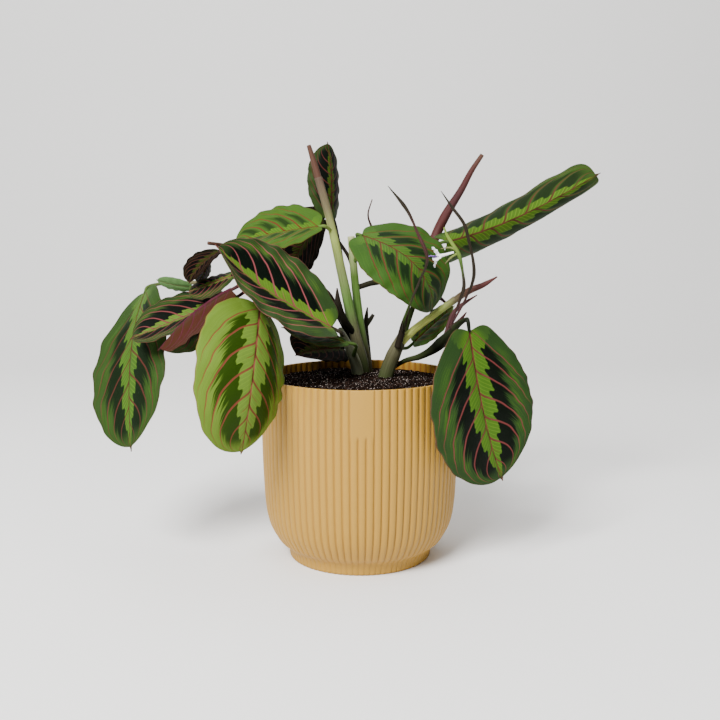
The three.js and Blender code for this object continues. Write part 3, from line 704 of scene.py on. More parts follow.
def planter():
    """Rows of inside (0 or 1), radius, height and rib share, turned about the axis."""
    side, _ = curve_through([(r, 0, z) for z, r in SIDE], SIDE_ROWS)
    rows = [(0, r, z, share) for r, z, share in UNDERSIDE]
    rows += [(0, r, z, FOOT_RIB_SHARE + (1 - FOOT_RIB_SHARE) * smoothstep(z, *RIB_GROWTH))
             for r, _, z in side]
    rows += [(0, RIM_RADIUS + out, POT_HEIGHT - down, share) for out, down, share in OUTER_LIP]
    rows += [(1, INNER_RADIUS + out, POT_HEIGHT - down, share) for out, down, share in INNER_LIP]
    rows += [(1, INNER_RADIUS - 0.1, z, 1.0)
             for z in np.linspace(POT_HEIGHT - 2, INSIDE_BOTTOM + 1, FLUTE_ROWS)]
    rows += [(0, 40.0, INSIDE_BOTTOM, 0.0), (0, 0.0, INSIDE_BOTTOM, 0.0)]
    inside, radius, height, ribbed = np.array(rows, float).T[:, :, None]
    columns = RIBS * RIB_SAMPLES
    angle = np.arange(columns) / columns * 360.0
    place = np.mod(angle / (360 / RIBS) + 0.5, 1)
    crest = np.power(np.clip(1 - np.abs(2 * place - 1) ** 2.3, 0, 1), 0.5)
    inner_crest = 1 - np.abs(2 * np.mod(place + 0.5, 1) - 1) ** 2
    from_front = np.abs(np.mod(angle + 180, 360) - 180)
    panel = 1 - smoothstep(from_front, PANEL_HALF_ANGLE - 0.35, PANEL_HALF_ANGLE + 0.15)
    panel = panel * smoothstep(height, PANEL_BOTTOM - 0.8, PANEL_BOTTOM + 0.4) * (1 - inside)
    valley = np.where(inside, 1 - inner_crest, 1 - crest) * (1 - panel)
    reach = radius - np.where(inside, -INSIDE_RIB_DEPTH, RIB_DEPTH) * ribbed * valley
    turned = np.radians(angle - 90 + POT_TURN)
    points = triples(reach * np.cos(turned), reach * np.sin(turned), height)
    # painted shade: the grooves between ribs get darker, those inside more so, and the inner wall darkens
    # from the rim down over 8 mm
    groove = valley * (ribbed > 0.5) * (0.35 + 0.45 * inside)
    deep = inside * (0.1 + 0.3 * smoothstep(POT_HEIGHT - height, 0, 8)) + groove
    return mesh_object("planter_shell", points, grid_faces(len(rows), columns, wrap=True),
                       [planter_material()], finish=triples(np.clip(deep, 0, 1), 0.0, 0.0))


# ---------- the soil ----------
SOIL_EDGE = 125.0
SOIL_DOME = 2.2
SOIL_DEPTH = 6
SOIL_RADIUS = INNER_RADIUS - 0.45
SOIL_RINGS = 60
SOIL_COLUMNS = 240
# Rise, scale and noise level of the soil's lumps, and then of the crumbs on them.
SOIL_LUMPS = [(1.1, 0.09, 3), (0.8, 0.35, 7)]
SOIL_CRUMBS = (0.45, 0.9, 1)
GRAINS = 4600
SPECKS = 2600
# Corners and sides of a unit icosahedron. The lower ring mirrors the upper one.
BALL_RING = [(0.894, 0, 0.447), (0.276, 0.851, 0.447), (-0.724, 0.526, 0.447), (-0.724, -0.526, 0.447),
             (0.276, -0.851, 0.447)]
BALL = [(0, 0, 1)] + BALL_RING + [(-x, -y, -z) for x, y, z in BALL_RING[3:] + BALL_RING[:3]] + [(0, 0, -1)]
BALL_SIDES = [(0, k, k % 5 + 1) for k in range(1, 6)] + [(11, k % 5 + 6, k + 5) for k in range(1, 6)]
for corner in range(5):
    BALL_SIDES.append((corner + 1, corner + 6, (corner + 1) % 5 + 1))
    BALL_SIDES.append(((corner + 1) % 5 + 1, corner + 6, (corner + 1) % 5 + 6))


def soil_noise(x, y, scale, level):
    return noise.noise(Vector((x * scale, y * scale, level)))


def soil_height(x, y):
    out = math.hypot(x, y) / SOIL_RADIUS
    height = SOIL_EDGE + SOIL_DOME * (1 - out * out)
    for rise, scale, level in SOIL_LUMPS:
        height += rise * soil_noise(x, y, scale, level)
    rise, scale, level = SOIL_CRUMBS
    return height + rise * abs(soil_noise(x, y, scale, level))


def soil():
    """A lumpy disc with a short wall under its edge, and grains and pale specks sunk into it."""
    points = []
    angle = np.linspace(0, 2 * math.pi, SOIL_COLUMNS, endpoint=False)
    for i in range(SOIL_RINGS):
        radius = SOIL_RADIUS * (i / (SOIL_RINGS - 1)) ** 0.9
        for a in angle:
            x, y = radius * math.cos(a), radius * math.sin(a)
            points.append((x, y, soil_height(x, y)))
    rim = [(SOIL_RADIUS * math.cos(a), SOIL_RADIUS * math.sin(a)) for a in angle]
    points += [(x, y, SOIL_EDGE - SOIL_DEPTH) for x, y in rim]
    faces = [tuple(face) for face in grid_faces(SOIL_RINGS + 1, SOIL_COLUMNS, wrap=True)]
    finish = [(0, 0, 0)] * len(points)
    draw = random.Random(SEED)
    for n in range(GRAINS + SPECKS):
        speck = n >= GRAINS
        radius = SOIL_RADIUS * 0.985 * math.sqrt(draw.random())
        turn = draw.uniform(0, 2 * math.pi)
        x, y = radius * math.cos(turn), radius * math.sin(turn)
        size = draw.uniform(0.16, 0.36) if speck else draw.uniform(0.35, 1.1) * draw.uniform(0.6, 1)
        stretch = (draw.uniform(0.8, 1.5), 1, draw.uniform(0.6, 1))
        spin = draw.uniform(0, math.pi)
        brown = draw.uniform(0, 1) ** 1.6
        light = draw.uniform(0.45, 1) if speck else 0
        z = soil_height(x, y) + size * 0.15
        faces += [tuple(len(points) + k for k in side) for side in BALL_SIDES]
        for corner in BALL:
            reach = draw.uniform(0.7, 1.1) * size
            dx, dy, dz = (c * reach * s for c, s in zip(corner, stretch))
            points.append((x + (dx * math.cos(spin) - dy * math.sin(spin)),
                           y + (dx * math.sin(spin) + dy * math.cos(spin)), z + dz))
            finish.append((brown, light, 0))
    points = np.array(points)
    out = np.hypot(points[:, 0], points[:, 1])
    points[:, :2] *= np.minimum(1, SOIL_RADIUS / np.maximum(out, 1e-6))[:, None]
    return mesh_object("soil_fill", points, faces, [soil_material()], finish=finish)


# ---------- leaf blades ----------
# Each leaf is bent from a flat oval, by the same rule as the CAD's. Its midrib starts at base, runs at
# heading (about Z, from +X) and rise (above level), and bends towards its underside by bend degrees per
# blade length, changing evenly from base to tip. roll turns the upper face about the midrib, sway bends
# the midrib sideways and twist adds to roll. Each half, left then right as seen from above with the tip
# ahead, stands up from the midrib by fold degrees and bends down across its width by curl. The last
# field is its look.
LEAF_FIELDS = ("base", "heading", "rise", "roll", "bend", "sway", "twist", "length", "width", "fold",
               "curl", "look")
LEAVES = {
    "leaf_right_hanging": ((71.6, -50, 168.2), -39, -79, 6, (17, 6), 26, 15, 110, 84, (5, 8), (-5, 31),
                           "dark"),
    "leaf_left_hanging": ((-156.3, 24, 188.2), -107, -46, 41, (44, 3), 3, -10, 125, 73, (2, 1), (28, -30),
                          "middle"),
    "leaf_lime": ((-65.6, -46.5, 183.8), -88, -28, -13, (50, 150), 6, -2, 112, 77, (-32, 27), (39, 23),
                  "lime"),
    "leaf_front": ((-19, -18, 166.3), -159, 29, -28, (7, -50), -6, 2, 100, 75, (16, 29), (30, -3), "pink"),
    "leaf_upper_left": ((-28.6, 18, 235.2), 179, -6, -13, (9, 10), 2, 9, 64, 61, (6, 28), (35, -3),
                        "bright"),
    "leaf_top": ((-21.6, 46, 241.7), 52, 83, 83, (12, 23), 4, -1, 57, 37, (-20, -12), (30, 36), "shadow"),
    "leaf_shaded_back": ((-28, 62, 241), 170, -45, -39, (28, 23), -1, -12, 48, 62, (12, 19), (12, 14),
                         "night"),
    "leaf_centre_right": ((0.6, -6, 229.5), -21, -15.4, 21, (15, 173), -6, -7, 82, 79, (-4, 5), (-20, 31),
                          "fresh"),
    "leaf_right_raised": ((62.2, 17.6, 224.3), 31.5, 11.4, 54, (-1, -139), 7.7, 23.7, 134.5, 79.3,
                          (-29, -50), (70, 78), "raised"),
    "leaf_left_level": ((-90, -20, 186), 195, -18, -7, (14, 1), -12, -16, 72, 50, (9, 21), (6, 3), "level"),
    "leaf_left_underside": ((-83.9, -48.5, 194.9), 184, -27, 182, (-25, -24), -1, 0, 63, 46, (84, 43),
                            (38, 30), "olive"),
    "leaf_left_small": ((-84.7, -34, 203.4), 174, -19, -24, (6, 0), -3, -12, 34, 27, (1, 1), (22, 23),
                        "level"),
    "leaf_left_curled": ((-94.6, -23, 218.5), 216, -19, -1, (42, 47), 0, -3, 32, 27, (11, 15), (8, -7),
                         "night"),
    "leaf_left_young": ((-105, -14, 211.4), 213, -76, 223, (32, 34), 0, 2, 16, 23, (8, 5), (11, 18),
                        "blush"),
    "leaf_left_pale": ((-115.9, -13, 194), 182, 3, -127, (25, 23), -1, 0, 26, 12, (2, 2), (23, 23), "pale"),
    "leaf_front_lower": ((-9.8, -8, 155), 199, 16, -13, (9, -12), 0, -6, 48, 33, (5, 7), (18, 16), "fresh"),
    "leaf_back_low": ((-14, 49, 143.2), 220, 5, -31, (9, 12), 10, 8, 45, 50, (15, 17), (5, 9), "night"),
    "leaf_right_lower": ((39.3, 21, 151.1), -16, 44, 40, (5, 4), 3, -1, 40.5, 33.4, (3, 19), (18, 24),
                         "bright"),
}
# How far the blade's base is notched, as a share of its width, and where that is overruled, in mm.
NOTCH_SHARE = 0.06
NOTCHES = {"leaf_lime": 1}
NOTCH_REACH = 0.035
SPINE_STEPS = 48
# Rows and half columns of a blade, and the length above which it gets the larger grid.
LARGE_GRID = (110, 30)
SMALL_GRID = (56, 18)
LARGE_LEAF = 60
MIDRIB_GAP = 1e-4
EDGE_WAVES = 5
EDGE_WAVE = 1.1
BLADE_THICKNESS = 0.5
GROOVE_DEPTH = 0.45
KEEL_DEPTH = 0.95
QUILT = 0.55
FULL_RELIEF_LENGTH = 100
SIDE_VEINS = 6.8
FEWER_SIDE_VEINS = {"bright": 5.2, "fresh": 6.2}
OTHER_SIDE_SHIFT = 0.42
# Side veins hug the midrib for VEIN_HOOK, lean out by VEIN_LEAN and arch towards the tip by VEIN_ARCH,
# in blade lengths. The hook fades over HOOK_REACH of the half width.
VEIN_LEAN = 0.21
VEIN_ARCH = 0.34
VEIN_HOOK = 0.022
HOOK_REACH = 0.04


def leaf_named(name):
    leaf = SimpleNamespace(name=name, **dict(zip(LEAF_FIELDS, LEAVES[name])))
    leaf.notch = NOTCHES.get(name, leaf.width * NOTCH_SHARE)
    return leaf


def blade_spine(leaf):
    """Place, direction and upper face's direction at each step of the midrib."""
    heading, rise = math.radians(leaf.heading), math.radians(leaf.rise)
    ahead = np.array([math.cos(heading), math.sin(heading), 0.0])
    along = ahead * math.cos(rise) + np.array([0.0, 0.0, math.sin(rise)])
    up = ahead * -math.sin(rise) + np.array([0.0, 0.0, math.cos(rise)])
    up = rotated(up, along, math.radians(leaf.roll))
    place = np.array(leaf.base, float)
    spine = [(place, along, up)]
    for i in range(SPINE_STEPS):
        t = (i + 0.5) / SPINE_STEPS
        left = np.cross(up, along)
        bend = math.radians(leaf.bend[0] * (1 - t) + leaf.bend[1] * t) / SPINE_STEPS
        before = along
        turned = [rotated(v, along, math.radians(leaf.twist) / SPINE_STEPS) for v in (along, up)]
        turned = [rotated(v, up, math.radians(leaf.sway) / SPINE_STEPS) for v in turned]
        along, up = (rotated(v, left, bend) for v in turned)
        along = unit(along)
        up = unit(up - along * (up @ along))
        place = place + unit(before + along) * leaf.length / SPINE_STEPS
        spine.append((place, along, up))
    return [np.array(part) for part in zip(*spine)]


def blade_half_width(t, width):
    oval = np.minimum(t / 0.97, 1) ** 0.95
    body = (width / 2) * np.maximum(1 - np.abs(2 * oval - 1) ** 2.3, 0) ** 0.56
    tip = np.minimum((1 - t) / 0.08, 1) * 0.05 * width
    return np.maximum(np.maximum(body, tip), 0.012 * width * (1 - t) + 0.4)


def blade_places(leaf):
    """t along the midrib, and v across: -1 and 1 at the edges, and two columns at the midrib."""
    rows, half_columns = LARGE_GRID if leaf.length > LARGE_LEAF else SMALL_GRID
    t = (1 - np.cos(np.pi * np.arange(rows + 1) / rows)) / 2
    side = (np.arange(half_columns + 1) / half_columns) ** 1.12
    v = np.concatenate([-side[::-1], side])
    v[half_columns], v[half_columns + 1] = -MIDRIB_GAP, MIDRIB_GAP
    return t[:, None], v[None, :]


def side_veins(leaf, t, across, sign, width):
    """The count of side veins from the base, and the distance between two of them."""
    hook = np.exp(-across / HOOK_REACH)
    lean = VEIN_HOOK * (1 - hook) + VEIN_LEAN * across + VEIN_ARCH * across ** 3
    veins = FEWER_SIDE_VEINS.get(leaf.look, SIDE_VEINS)
    phase = (t - lean) * veins + np.where(sign > 0, OTHER_SIDE_SHIFT, 0.0)
    slope = VEIN_HOOK / HOOK_REACH * hook + VEIN_LEAN + 3 * VEIN_ARCH * across ** 2
    slope = slope / np.maximum(width, 1)
    return phase, 1 / (veins * np.sqrt((1 / leaf.length) ** 2 + slope ** 2))


def blade_relief(leaf, t, across, sign, width, phase):
    """Height over the smooth blade: the edge's waves, swellings between side veins, midrib groove."""
    size = min(leaf.length / FULL_RELIEF_LENGTH, 1)
    wave = EDGE_WAVE * size * across ** 3 * np.sin(np.pi * t)
    wave = wave * np.sin(2 * np.pi * EDGE_WAVES * t + np.where(sign > 0, 0, 2) + leaf.width)
    ridge = np.abs(np.sin(np.pi * phase)) ** 0.7
    fading = np.clip(phase + 0.6, 0, 1) * np.sin(np.pi * np.minimum(across * 0.95 + 0.05, 1))
    fading = fading * np.sin(np.pi * t) ** 0.4
    groove = -GROOVE_DEPTH * np.exp(-(across * width / 1.1) ** 2) * (1 - t * 0.6)
    return wave + QUILT * size * (ridge - 0.5) * fading + groove


def leaf_mesh(leaf, looks, own):
    """The blade as a thick sheet, with the masks' attributes. own sets its noise apart."""
    t, v = blade_places(leaf)
    steps = np.linspace(0, 1, SPINE_STEPS + 1)
    place, along, up = (np.stack([np.interp(t[:, 0], steps, part[:, k]) for k in range(3)], 1)
                        for part in blade_spine(leaf))
    along = unit(along)
    up = unit(up - along * (up * along).sum(1, keepdims=True))
    place, along, up, left = (part[:, None] for part in (place, along, up, np.cross(up, along)))
    sign = np.where(v < 0, -1.0, 1.0)
    across = np.abs(v)
    half = (v < 0).astype(int)
    width = blade_half_width(t, leaf.width)
    edge_width = width * (1 + 0.012 * np.sin(t * 31 + own * 5) * sign + 0.008 * np.sin(t * 67 + own))
    fold = np.radians(np.array(leaf.fold)[half])
    curl = np.radians(np.array(leaf.curl, float)[half]) * (width / (leaf.width / 2))
    curl = np.where(np.abs(curl) < 1e-4, 1e-4, curl)
    angle = fold - curl * across
    sideways = edge_width * (np.sin(fold) - np.sin(angle)) / curl
    upward = edge_width * (np.cos(angle) - np.cos(fold)) / curl
    notch = leaf.notch * across ** 1.5 * (t / NOTCH_REACH) * np.exp(1 - t / NOTCH_REACH)
    tilt = np.where(across < 1e-3, 0, angle)[..., None]
    face = up * np.cos(tilt) - left * sign[..., None] * np.sin(tilt)
    phase, pitch = side_veins(leaf, t, across, sign, width)
    relief = blade_relief(leaf, t, across, sign, width, phase)
    middle = place + left * (sign * sideways)[..., None] + up * upward[..., None]
    middle = middle - along * notch[..., None]
    thin = BLADE_THICKNESS / 2 * (1 - 0.55 * across ** 4)
    keel = KEEL_DEPTH * np.exp(-(across * width / (1.0 + 0.3 * (1 - t))) ** 2)
    keel = keel * np.sin(np.pi * np.minimum(t + 0.25, 1)) ** 0.5
    top = middle + face * (relief + thin)[..., None]
    under = middle + face * (relief - thin - keel)[..., None]
    parts = shell_faces(*phase.shape)
    slots = np.concatenate([np.full(len(part), k) for part, k in zip(parts, (0, 1, 0))])
    vein = triples(phase, across, t)
    span = triples(pitch, width, own)
    return mesh_object(leaf.name + "_blade", np.vstack([top, under]).reshape(-1, 3),
                       np.vstack(parts)[:, ::-1], looks[leaf.look], slots=slots,
                       vein=np.vstack([vein, vein]), span=np.vstack([span, span]))


# ---------- stalks ----------
PETIOLE_RUN = 7.0
PETIOLE_RADII = [1.5, 1.3, 1.1]
STALK_SINK = 1.2
THICK_STALK = 2


def stalk(points, radii, shades, to=None, run=PETIOLE_RUN):
    """A stalk that ends at a leaf names it in to. run is the last stretch, in line with the midrib."""
    return SimpleNamespace(points=points, radii=radii, shades=shades.split(), to=to, run=run)


def petiole(to, points, shades, run=PETIOLE_RUN):
    return stalk(points, PETIOLE_RADII, shades, to, run)


# Each entry is one CAD node. shades are a stalk's colours from root to tip, evenly spaced.
STEMS = {
    "stem_tall": [
        stalk([(4, 34, 112), (2.5, 34, 132), (-3.5, 31, 156), (-12, 26, 196), (-22, 26, 241),
               (-30, 28, 270)], [4.4, 4.2, 3.8, 3.3, 2.9, 2.9],
              "deep dusk_green taupe leafy sage lime straw bark"),
        petiole("leaf_upper_left", [(-20.5, 25.5, 231), (-23, 21, 234)], "lime fresh", 3),
        stalk([(-13, 27, 202), (-14, 40, 212), (-17, 56, 228), (-20, 63, 240)], [1.7, 1.4, 1.2],
              "umber night", "leaf_shaded_back"),
        stalk([(-5, 29, 158), (-11, 24, 166), (-15.5, 21, 177), (-16.6, 20, 191)], [2.4, 3, 2.9, 0.5],
              "night umber"),
    ],
    "stem_cut": [
        stalk([(7, 45, 112), (5.5, 44, 130), (1.5, 39, 153), (-3, 34, 189), (-6.5, 32, 228)],
              [4, 3.8, 3.2, 2.9, 2.6], "grey_green grey_green leafy fresh pith"),
        petiole("leaf_centre_right", [(-4.5, 33, 208), (-1, 24, 218), (-1.5, 8, 227)], "fresh moss", 2.5),
        petiole("leaf_top", [(-3.6, 33.6, 196), (-8, 37, 212)], "umber umber"),
        stalk([(-3, 34.5, 190), (7, 39, 193), (18, 42, 196), (21, 43, 208), (12, 43, 228), (6, 43, 243),
               (9, 43, 255)], [2, 2.2, 2, 1.8, 1.2, 0.7, 0.4], "umber deep umber wine"),
    ],
    "stem_front": [
        # painted light: this stalk's colours are lighter than its own, brightening it where the leaf above
        # shades it
        stalk([(-2, 25, 112), (-2, 25, 130), (-7, 18, 146), (-12, 8, 158), (-14, 1, 163)],
              [4.5, 4.4, 3.8, 2.8, 1.8], "sage ash ash ash"),
        stalk([(-12.5, 4.5, 159)], [2, 1.5, 1.1], "grey_green umber", "leaf_front"),
        stalk([(-5, 20, 141), (-3.5, 8, 147)], [1.6, 1.3, 1.1], "moss moss", "leaf_front_lower"),
    ],
    "stem_left": [
        stalk([(-2, 47, 112), (-2, 47, 128), (-4, 46.5, 143), (-10, 43, 158), (-17, 37, 172),
               (-24, 32, 186), (-36, 27, 194), (-56, 20, 200), (-74, 10, 206)],
              [3.4, 3.2, 2.8, 2.6, 2.4, 2.2, 2.1, 1.9, 1.6], "deep night umber wine"),
        petiole("leaf_back_low", [(-3.4, 46.8, 137)], "night night"),
        stalk([(-72, 11, 205), (-92, 14.5, 199), (-118, 24, 195), (-146, 31, 193.5)],
              [1.6, 1.5, 1.4, 1.3, 1.2], "umber straw moss", "leaf_left_hanging", 4),
        petiole("leaf_left_level", [(-62, 16, 202), (-69, 2, 200)], "wine wine"),
        stalk([(-54, 20.5, 199), (-61, 5, 203), (-68, -12, 206), (-73, -28, 203), (-76, -40, 199.5)],
              [1.6, 1.6, 1.7, 1.8, 1.5, 1.1], "wine wine", "leaf_left_underside", 3),
        stalk([(-44, 24, 196), (-51, 4, 186), (-57, -14, 182.5), (-62, -28, 185)], [1.6, 1.4, 1.2, 1.1],
              "umber moss fresh", "leaf_lime"),
        stalk([(-72, 11, 205), (-76, -14, 211)], [1.4, 1.2, 1.1], "wine umber", "leaf_left_small"),
        stalk([(-73, 10, 205.5), (-82, -6, 215)], [1.4, 1.2, 1.1], "wine umber", "leaf_left_curled"),
        stalk([(-84, 13, 201.3), (-95, 2, 216)], [1.3, 1.2, 1.1], "umber rose", "leaf_left_young"),
        stalk([(-98, 16.5, 197.7), (-104, 5, 195.5)], [1.2, 1.1, 1], "straw fresh", "leaf_left_pale"),
        stalk([(-82, -6, 213.5), (-91, -15, 222), (-102.5, -24, 224.5)], [1, 1.2, 1.2], "umber rust"),
    ],
    "stem_right": [
        stalk([(16, 14, 112), (18, 12, 125), (24, 10, 143), (31, 8, 158)], [4.6, 5.2, 5.2, 3.8],
              "dusk_green dusk_green grey_green taupe"),
        # painted light: the sprig colour is partly this branch's own pale green, lightened where leaves
        # above shade it
        stalk([(29, 8.5, 152), (38, 4, 162), (53, 0, 174), (67, -4, 185)], [3, 2.8, 2.4, 2.6],
              "sprig sprig sprig lime straw"),
        stalk([(30, 8, 155), (40, 24, 180), (51, 30, 206)], [2.4, 1.9, 1.6, 1.4, 1.1], "moss umber moss",
              "leaf_right_raised"),
        stalk([(27, 10, 149), (34, 18, 147.5)], [1.6, 1.3, 1.1], "moss moss", "leaf_right_lower", 3),
        stalk([(27, 3, 150), (31, -1, 167), (35.6, -4, 184)], [2.6, 2.2, 0.5], "umber umber rust"),
        stalk([(42, 24, 185), (50, 27, 187), (57.6, 27, 184), (63.4, 25, 179.3)], [1.2, 1.4, 1.5, 0.8],
              "umber wine"),
    ],
    "stem_low": [
        stalk([(19, 26, 112), (20, 24, 127), (31, 14, 138), (42, -2, 144), (51, -14, 151), (59.5, -25, 161),
               (66, -37, 171), (70, -46, 175)], [1.7, 1.7, 1.6, 2, 2.6, 4, 2.6, 1.6, 1.1],
              "night deep dusk_green night deep night", "leaf_right_hanging"),
        stalk([(62, -31, 167), (67, -35, 173), (71, -38, 179)], [2.4, 1.5, 0.4], "umber wine"),
    ],
    "stem_stub": [
        stalk([(8, 53, 112), (7, 52, 132), (5, 50.5, 152), (3.5, 49, 164)], [2.2, 2.1, 2, 2.2],
              "deep deep umber"),
        stalk([(4, 49.5, 158), (4.8, 49, 167), (5.6, 49, 174.5)], [2, 1.7, 0.5], "deep umber"),
        stalk([(4, 49.5, 160), (7.5, 49, 164.8), (10.2, 49, 169)], [1.9, 1.8, 1.3], "deep umber"),
    ],
}

# Rolled leaves, each with how many turns it is rolled.
SCROLLS = {
    "rolled_leaf_top": (1.6, stalk([(-29.5, 27.8, 268), (-33, 29, 280), (-37, 30, 293)], [2.7, 2.5, 1.7],
                                   "rust rust rust")),
    "rolled_leaf_right": (1.3, stalk([(65, -3.4, 183.5), (72, -5, 188.5), (78, -6, 192), (85, -8, 195),
                                      (95, -10, 201)], [2.3, 2.6, 2.4, 1.8, 0.5], "straw rust rose rose")),
    "rolled_leaf_tall": (1.5, stalk([(48.3, 28.5, 199), (50.1, 44, 210.8), (57.1, 53, 228.9),
                                     (64.5, 54, 244), (75.7, 52, 262.5), (82.7, 51, 275.8),
                                     (90.6, 51, 287.8)], [0.8, 2.8, 4, 4, 3.1, 2.4, 1.7],
                                    "straw rust rose rose wine rose rust")),
    "rolled_leaf_small": (1.2, stalk([(58, -22, 161), (65, -15, 177), (72, -14, 183), (80.5, -16, 188.8)],
                                     [1.2, 1.6, 1.5, 0.4], "wine wine rose")),
}

FLOWER_STALKS = {
    "flower_stalk_left": [
        stalk([(30, 0.5, 162), (30.8, -5, 162.5), (30.5, -14, 165.8), (29.9, -33, 174),
               (33.6, -47.5, 187.5), (38.6, -48, 199.8), (43.6, -50, 214.8), (36.9, -50, 232.3),
               (30.4, -47, 246.3), (18.1, -44, 261.8)], [0.9, 0.9, 0.9, 0.9, 0.8, 0.8, 1.3, 0.8, 1.3, 0.2],
              "umber umber moss umber umber wine umber umber"),
    ],
    "flower_stalk_right": [
        stalk([(59.5, -23.5, 162), (62.5, -21, 168.5), (72.1, -18, 185.6), (77.9, -18, 202.7),
               (73.4, -18, 228.4), (70.6, -18, 237.2), (62.4, -16, 248.6), (54.9, -16, 259.3)],
              [0.9, 0.8, 0.8, 1.3, 0.9, 1.2, 1.1, 0.2], "wine wine umber umber umber umber umber"),
    ],
    "flower_stalk_short": [
        stalk([(60.5, -27, 164), (63.5, -30, 175.7), (69.1, -32, 192.8), (69.7, -32, 197.5),
               (66.3, -30, 216.7), (64.9, -30, 219.4), (58, -30, 230), (56, -30, 235)],
              [0.9, 0.8, 0.9, 1.3, 0.9, 1.4, 1.2, 0.6], "wine wine umber umber moss bud bud"),
        stalk([(65.5, -30, 219), (61, -30, 221.5), (54, -30, 221)], [0.8, 0.7, 0.2], "bud straw"),
        stalk([(65.5, -30, 218), (61, -30, 215), (57, -30, 211)], [0.8, 0.7, 0.2], "bud straw"),
    ],
}


def with_petiole(entry):
    """Adds the last stretch, in line with the leaf's midrib and just into its base."""
    if entry.to is None:
        return entry.points
    place, along, _ = (part[0] for part in blade_spine(leaf_named(entry.to)))
    return entry.points + [tuple(place - along * back) for back in (entry.run, -STALK_SINK)]


def stalks(name, entries, material):
    made = Builder()
    for k, entry in enumerate(entries):
        thick = max(entry.radii) > THICK_STALK
        made.tube(with_petiole(entry), entry.radii, entry.shades, sides=28 if thick else 14,
                  seed=k * 3.1 + len(name), ridge=0.03 if thick else 0)
    return made.build(name + "_stalks", material)


def scroll(name, turns, entry, material):
    made = Builder()
    made.scroll(entry.points, entry.radii, entry.shades, turns, seed=len(name))
    return made.build(name + "_scroll", material)


# ---------- the flower ----------
FLOWER_TUBE = [(62.7, -30, 218.5), (57, -30.5, 217), (51, -31, 215.5)]
FLOWER_TUBE_RADII = [0.7, 0.9, 1.5]
FLOWER_MOUTH = (52.4, -30.9, 215.8)
PETAL = dict(base=FLOWER_MOUTH, roll=0, bend=(20, 20), sway=0, twist=0, length=8)
PETAL_WIDTH = 6
PETAL_THICKNESS = 0.25
PETAL_COLUMNS = 17
# Heading and rise of each petal, and its colour beyond the base.
PETALS = [(150, 62, "white"), (205, 10, "lilac"), (160, -60, "white"), (250, -8, "white")]


def flower():
    made = Builder()
    made.tube(FLOWER_TUBE, FLOWER_TUBE_RADII, ["white", "white"], sides=16, per_mm=3)
    t = np.linspace(0, 1, SPINE_STEPS + 1)[:, None]
    v = np.linspace(-1, 1, PETAL_COLUMNS)[None, :]
    size = t.size * v.size
    faces = np.vstack([grid_faces(t.size, v.size), grid_faces(t.size, v.size, start=size, flip=True)])
    width = blade_half_width(t, PETAL_WIDTH)
    far = np.repeat(smoothstep(t, 0.1, 0.4), v.size)[:, None]
    for k, (heading, rise, shade) in enumerate(PETALS):
        place, along, up = blade_spine(SimpleNamespace(heading=heading, rise=rise, **PETAL))
        ruffle = 0.35 * np.sin(t * 19 + v * 3 + k) * np.abs(v) * t
        rise_over = 0.12 * width * v ** 2 + ruffle
        sheet = place[:, None] + np.cross(up, along)[:, None] * (width * v)[..., None]
        sheet = sheet + up[:, None] * rise_over[..., None]
        back = sheet - up[:, None] * PETAL_THICKNESS
        fibre = triples(t * 2, v * 2, float(k))
        skin = np.array(linear("white")) * (1 - far) + np.array(linear(shade)) * far
        made.add(np.vstack([sheet, back]).reshape(-1, 3), faces, np.vstack([fibre, fibre]),
                 np.vstack([skin, skin]))
    return made.build("flower_petals", flower_material())


# ---------- the studio ----------
FLOOR_HALF_WIDTH = 4000.0
FLOOR_FRONT = -3000.0
BACKDROP_FOOT = 900.0
BACKDROP_TURN = 900.0
BACKDROP_TOP = 3500.0
# Name, place, size and watts of each light, and the point they face. These and the camera's are metres.
LIGHTS = [("key", (-0.85, -1.58, 1.7), 1.0, 150), ("fill", (1.0, -1.3, 1.6), 1.4, 3),
          ("top", (0.0, 0.1, 1.9), 1.6, 16)]
LIGHTS_FACE = (0, 0, 0.17)
WORLD_LIGHT = 0.2
CAMERA_PLACE = (0.0, -0.677454, 0.240491)
CAMERA_PITCH = 81.67
CAMERA_LENS = 48.12
CAMERA_SENSOR = 36


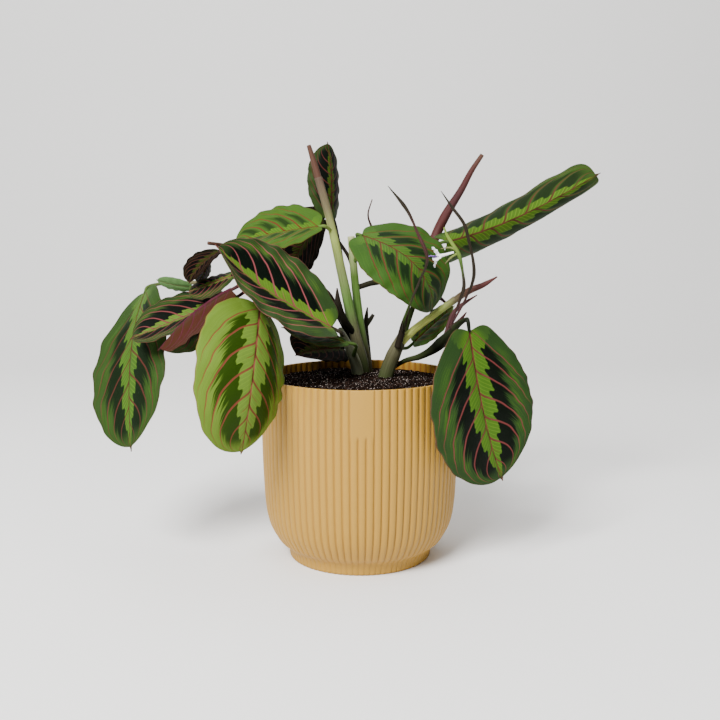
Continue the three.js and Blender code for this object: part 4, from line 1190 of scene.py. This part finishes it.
def backdrop():
    """A floor that turns up into a wall behind the plant."""
    profile = [(FLOOR_FRONT, 0.0), (BACKDROP_FOOT, 0.0)]
    for a in np.linspace(0.05, math.pi / 2, 24):
        out, up = BACKDROP_TURN * math.sin(a), BACKDROP_TURN * (1 - math.cos(a))
        profile.append((BACKDROP_FOOT + out, up))
    profile.append((BACKDROP_FOOT + BACKDROP_TURN, BACKDROP_TOP))
    points = [(x, y, z) for y, z in profile for x in (-FLOOR_HALF_WIDTH, FLOOR_HALF_WIDTH)]
    faces = [(2 * i, 2 * i + 1, 2 * i + 3, 2 * i + 2) for i in range(len(profile) - 1)]
    return mesh_object("floor", points, faces, [studio_material()])


def studio():
    floor = backdrop()
    for name, place, size, power in LIGHTS:
        light = bpy.data.lights.new(name, "AREA")
        light.size = size
        light.energy = power
        made = put(name, light)
        made.location = place
        made.rotation_mode = "QUATERNION"
        made.rotation_quaternion = (Vector(LIGHTS_FACE) - Vector(place)).to_track_quat("-Z", "Y")
    world = bpy.data.worlds.new("studio_world")
    world.use_nodes = True
    sky = world.node_tree.nodes["Background"].inputs
    sky["Color"].default_value = (1, 1, 1, 1)
    sky["Strength"].default_value = WORLD_LIGHT
    bpy.context.scene.world = world
    lens = bpy.data.cameras.new("camera")
    lens.lens = CAMERA_LENS
    lens.sensor_width = CAMERA_SENSOR
    camera = put("camera", lens)
    camera.location = CAMERA_PLACE
    camera.rotation_euler = (math.radians(CAMERA_PITCH), 0, 0)
    bpy.context.scene.camera = camera


# ---------- the pieces ----------
LEAF_NOISE_STEP = 1.7


def settle(piece, node):
    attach(piece, "root")
    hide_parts(node)


settle(planter(), "planter")
settle(soil(), "potting_soil")
looks = leaf_looks()
for number, leaf_name in enumerate(LEAVES):
    leaf = leaf_named(leaf_name)
    settle(leaf_mesh(leaf, looks, number * LEAF_NOISE_STEP), leaf_name)
skin = stalk_material()
for stem_name, entries in STEMS.items():
    settle(stalks(stem_name, entries, skin), stem_name)
for scroll_name, (turns, entry) in SCROLLS.items():
    settle(scroll(scroll_name, turns, entry, skin), scroll_name)
for stalk_name, entries in FLOWER_STALKS.items():
    settle(stalks(stalk_name, entries, skin), stalk_name)
settle(flower(), "flower")
studio()
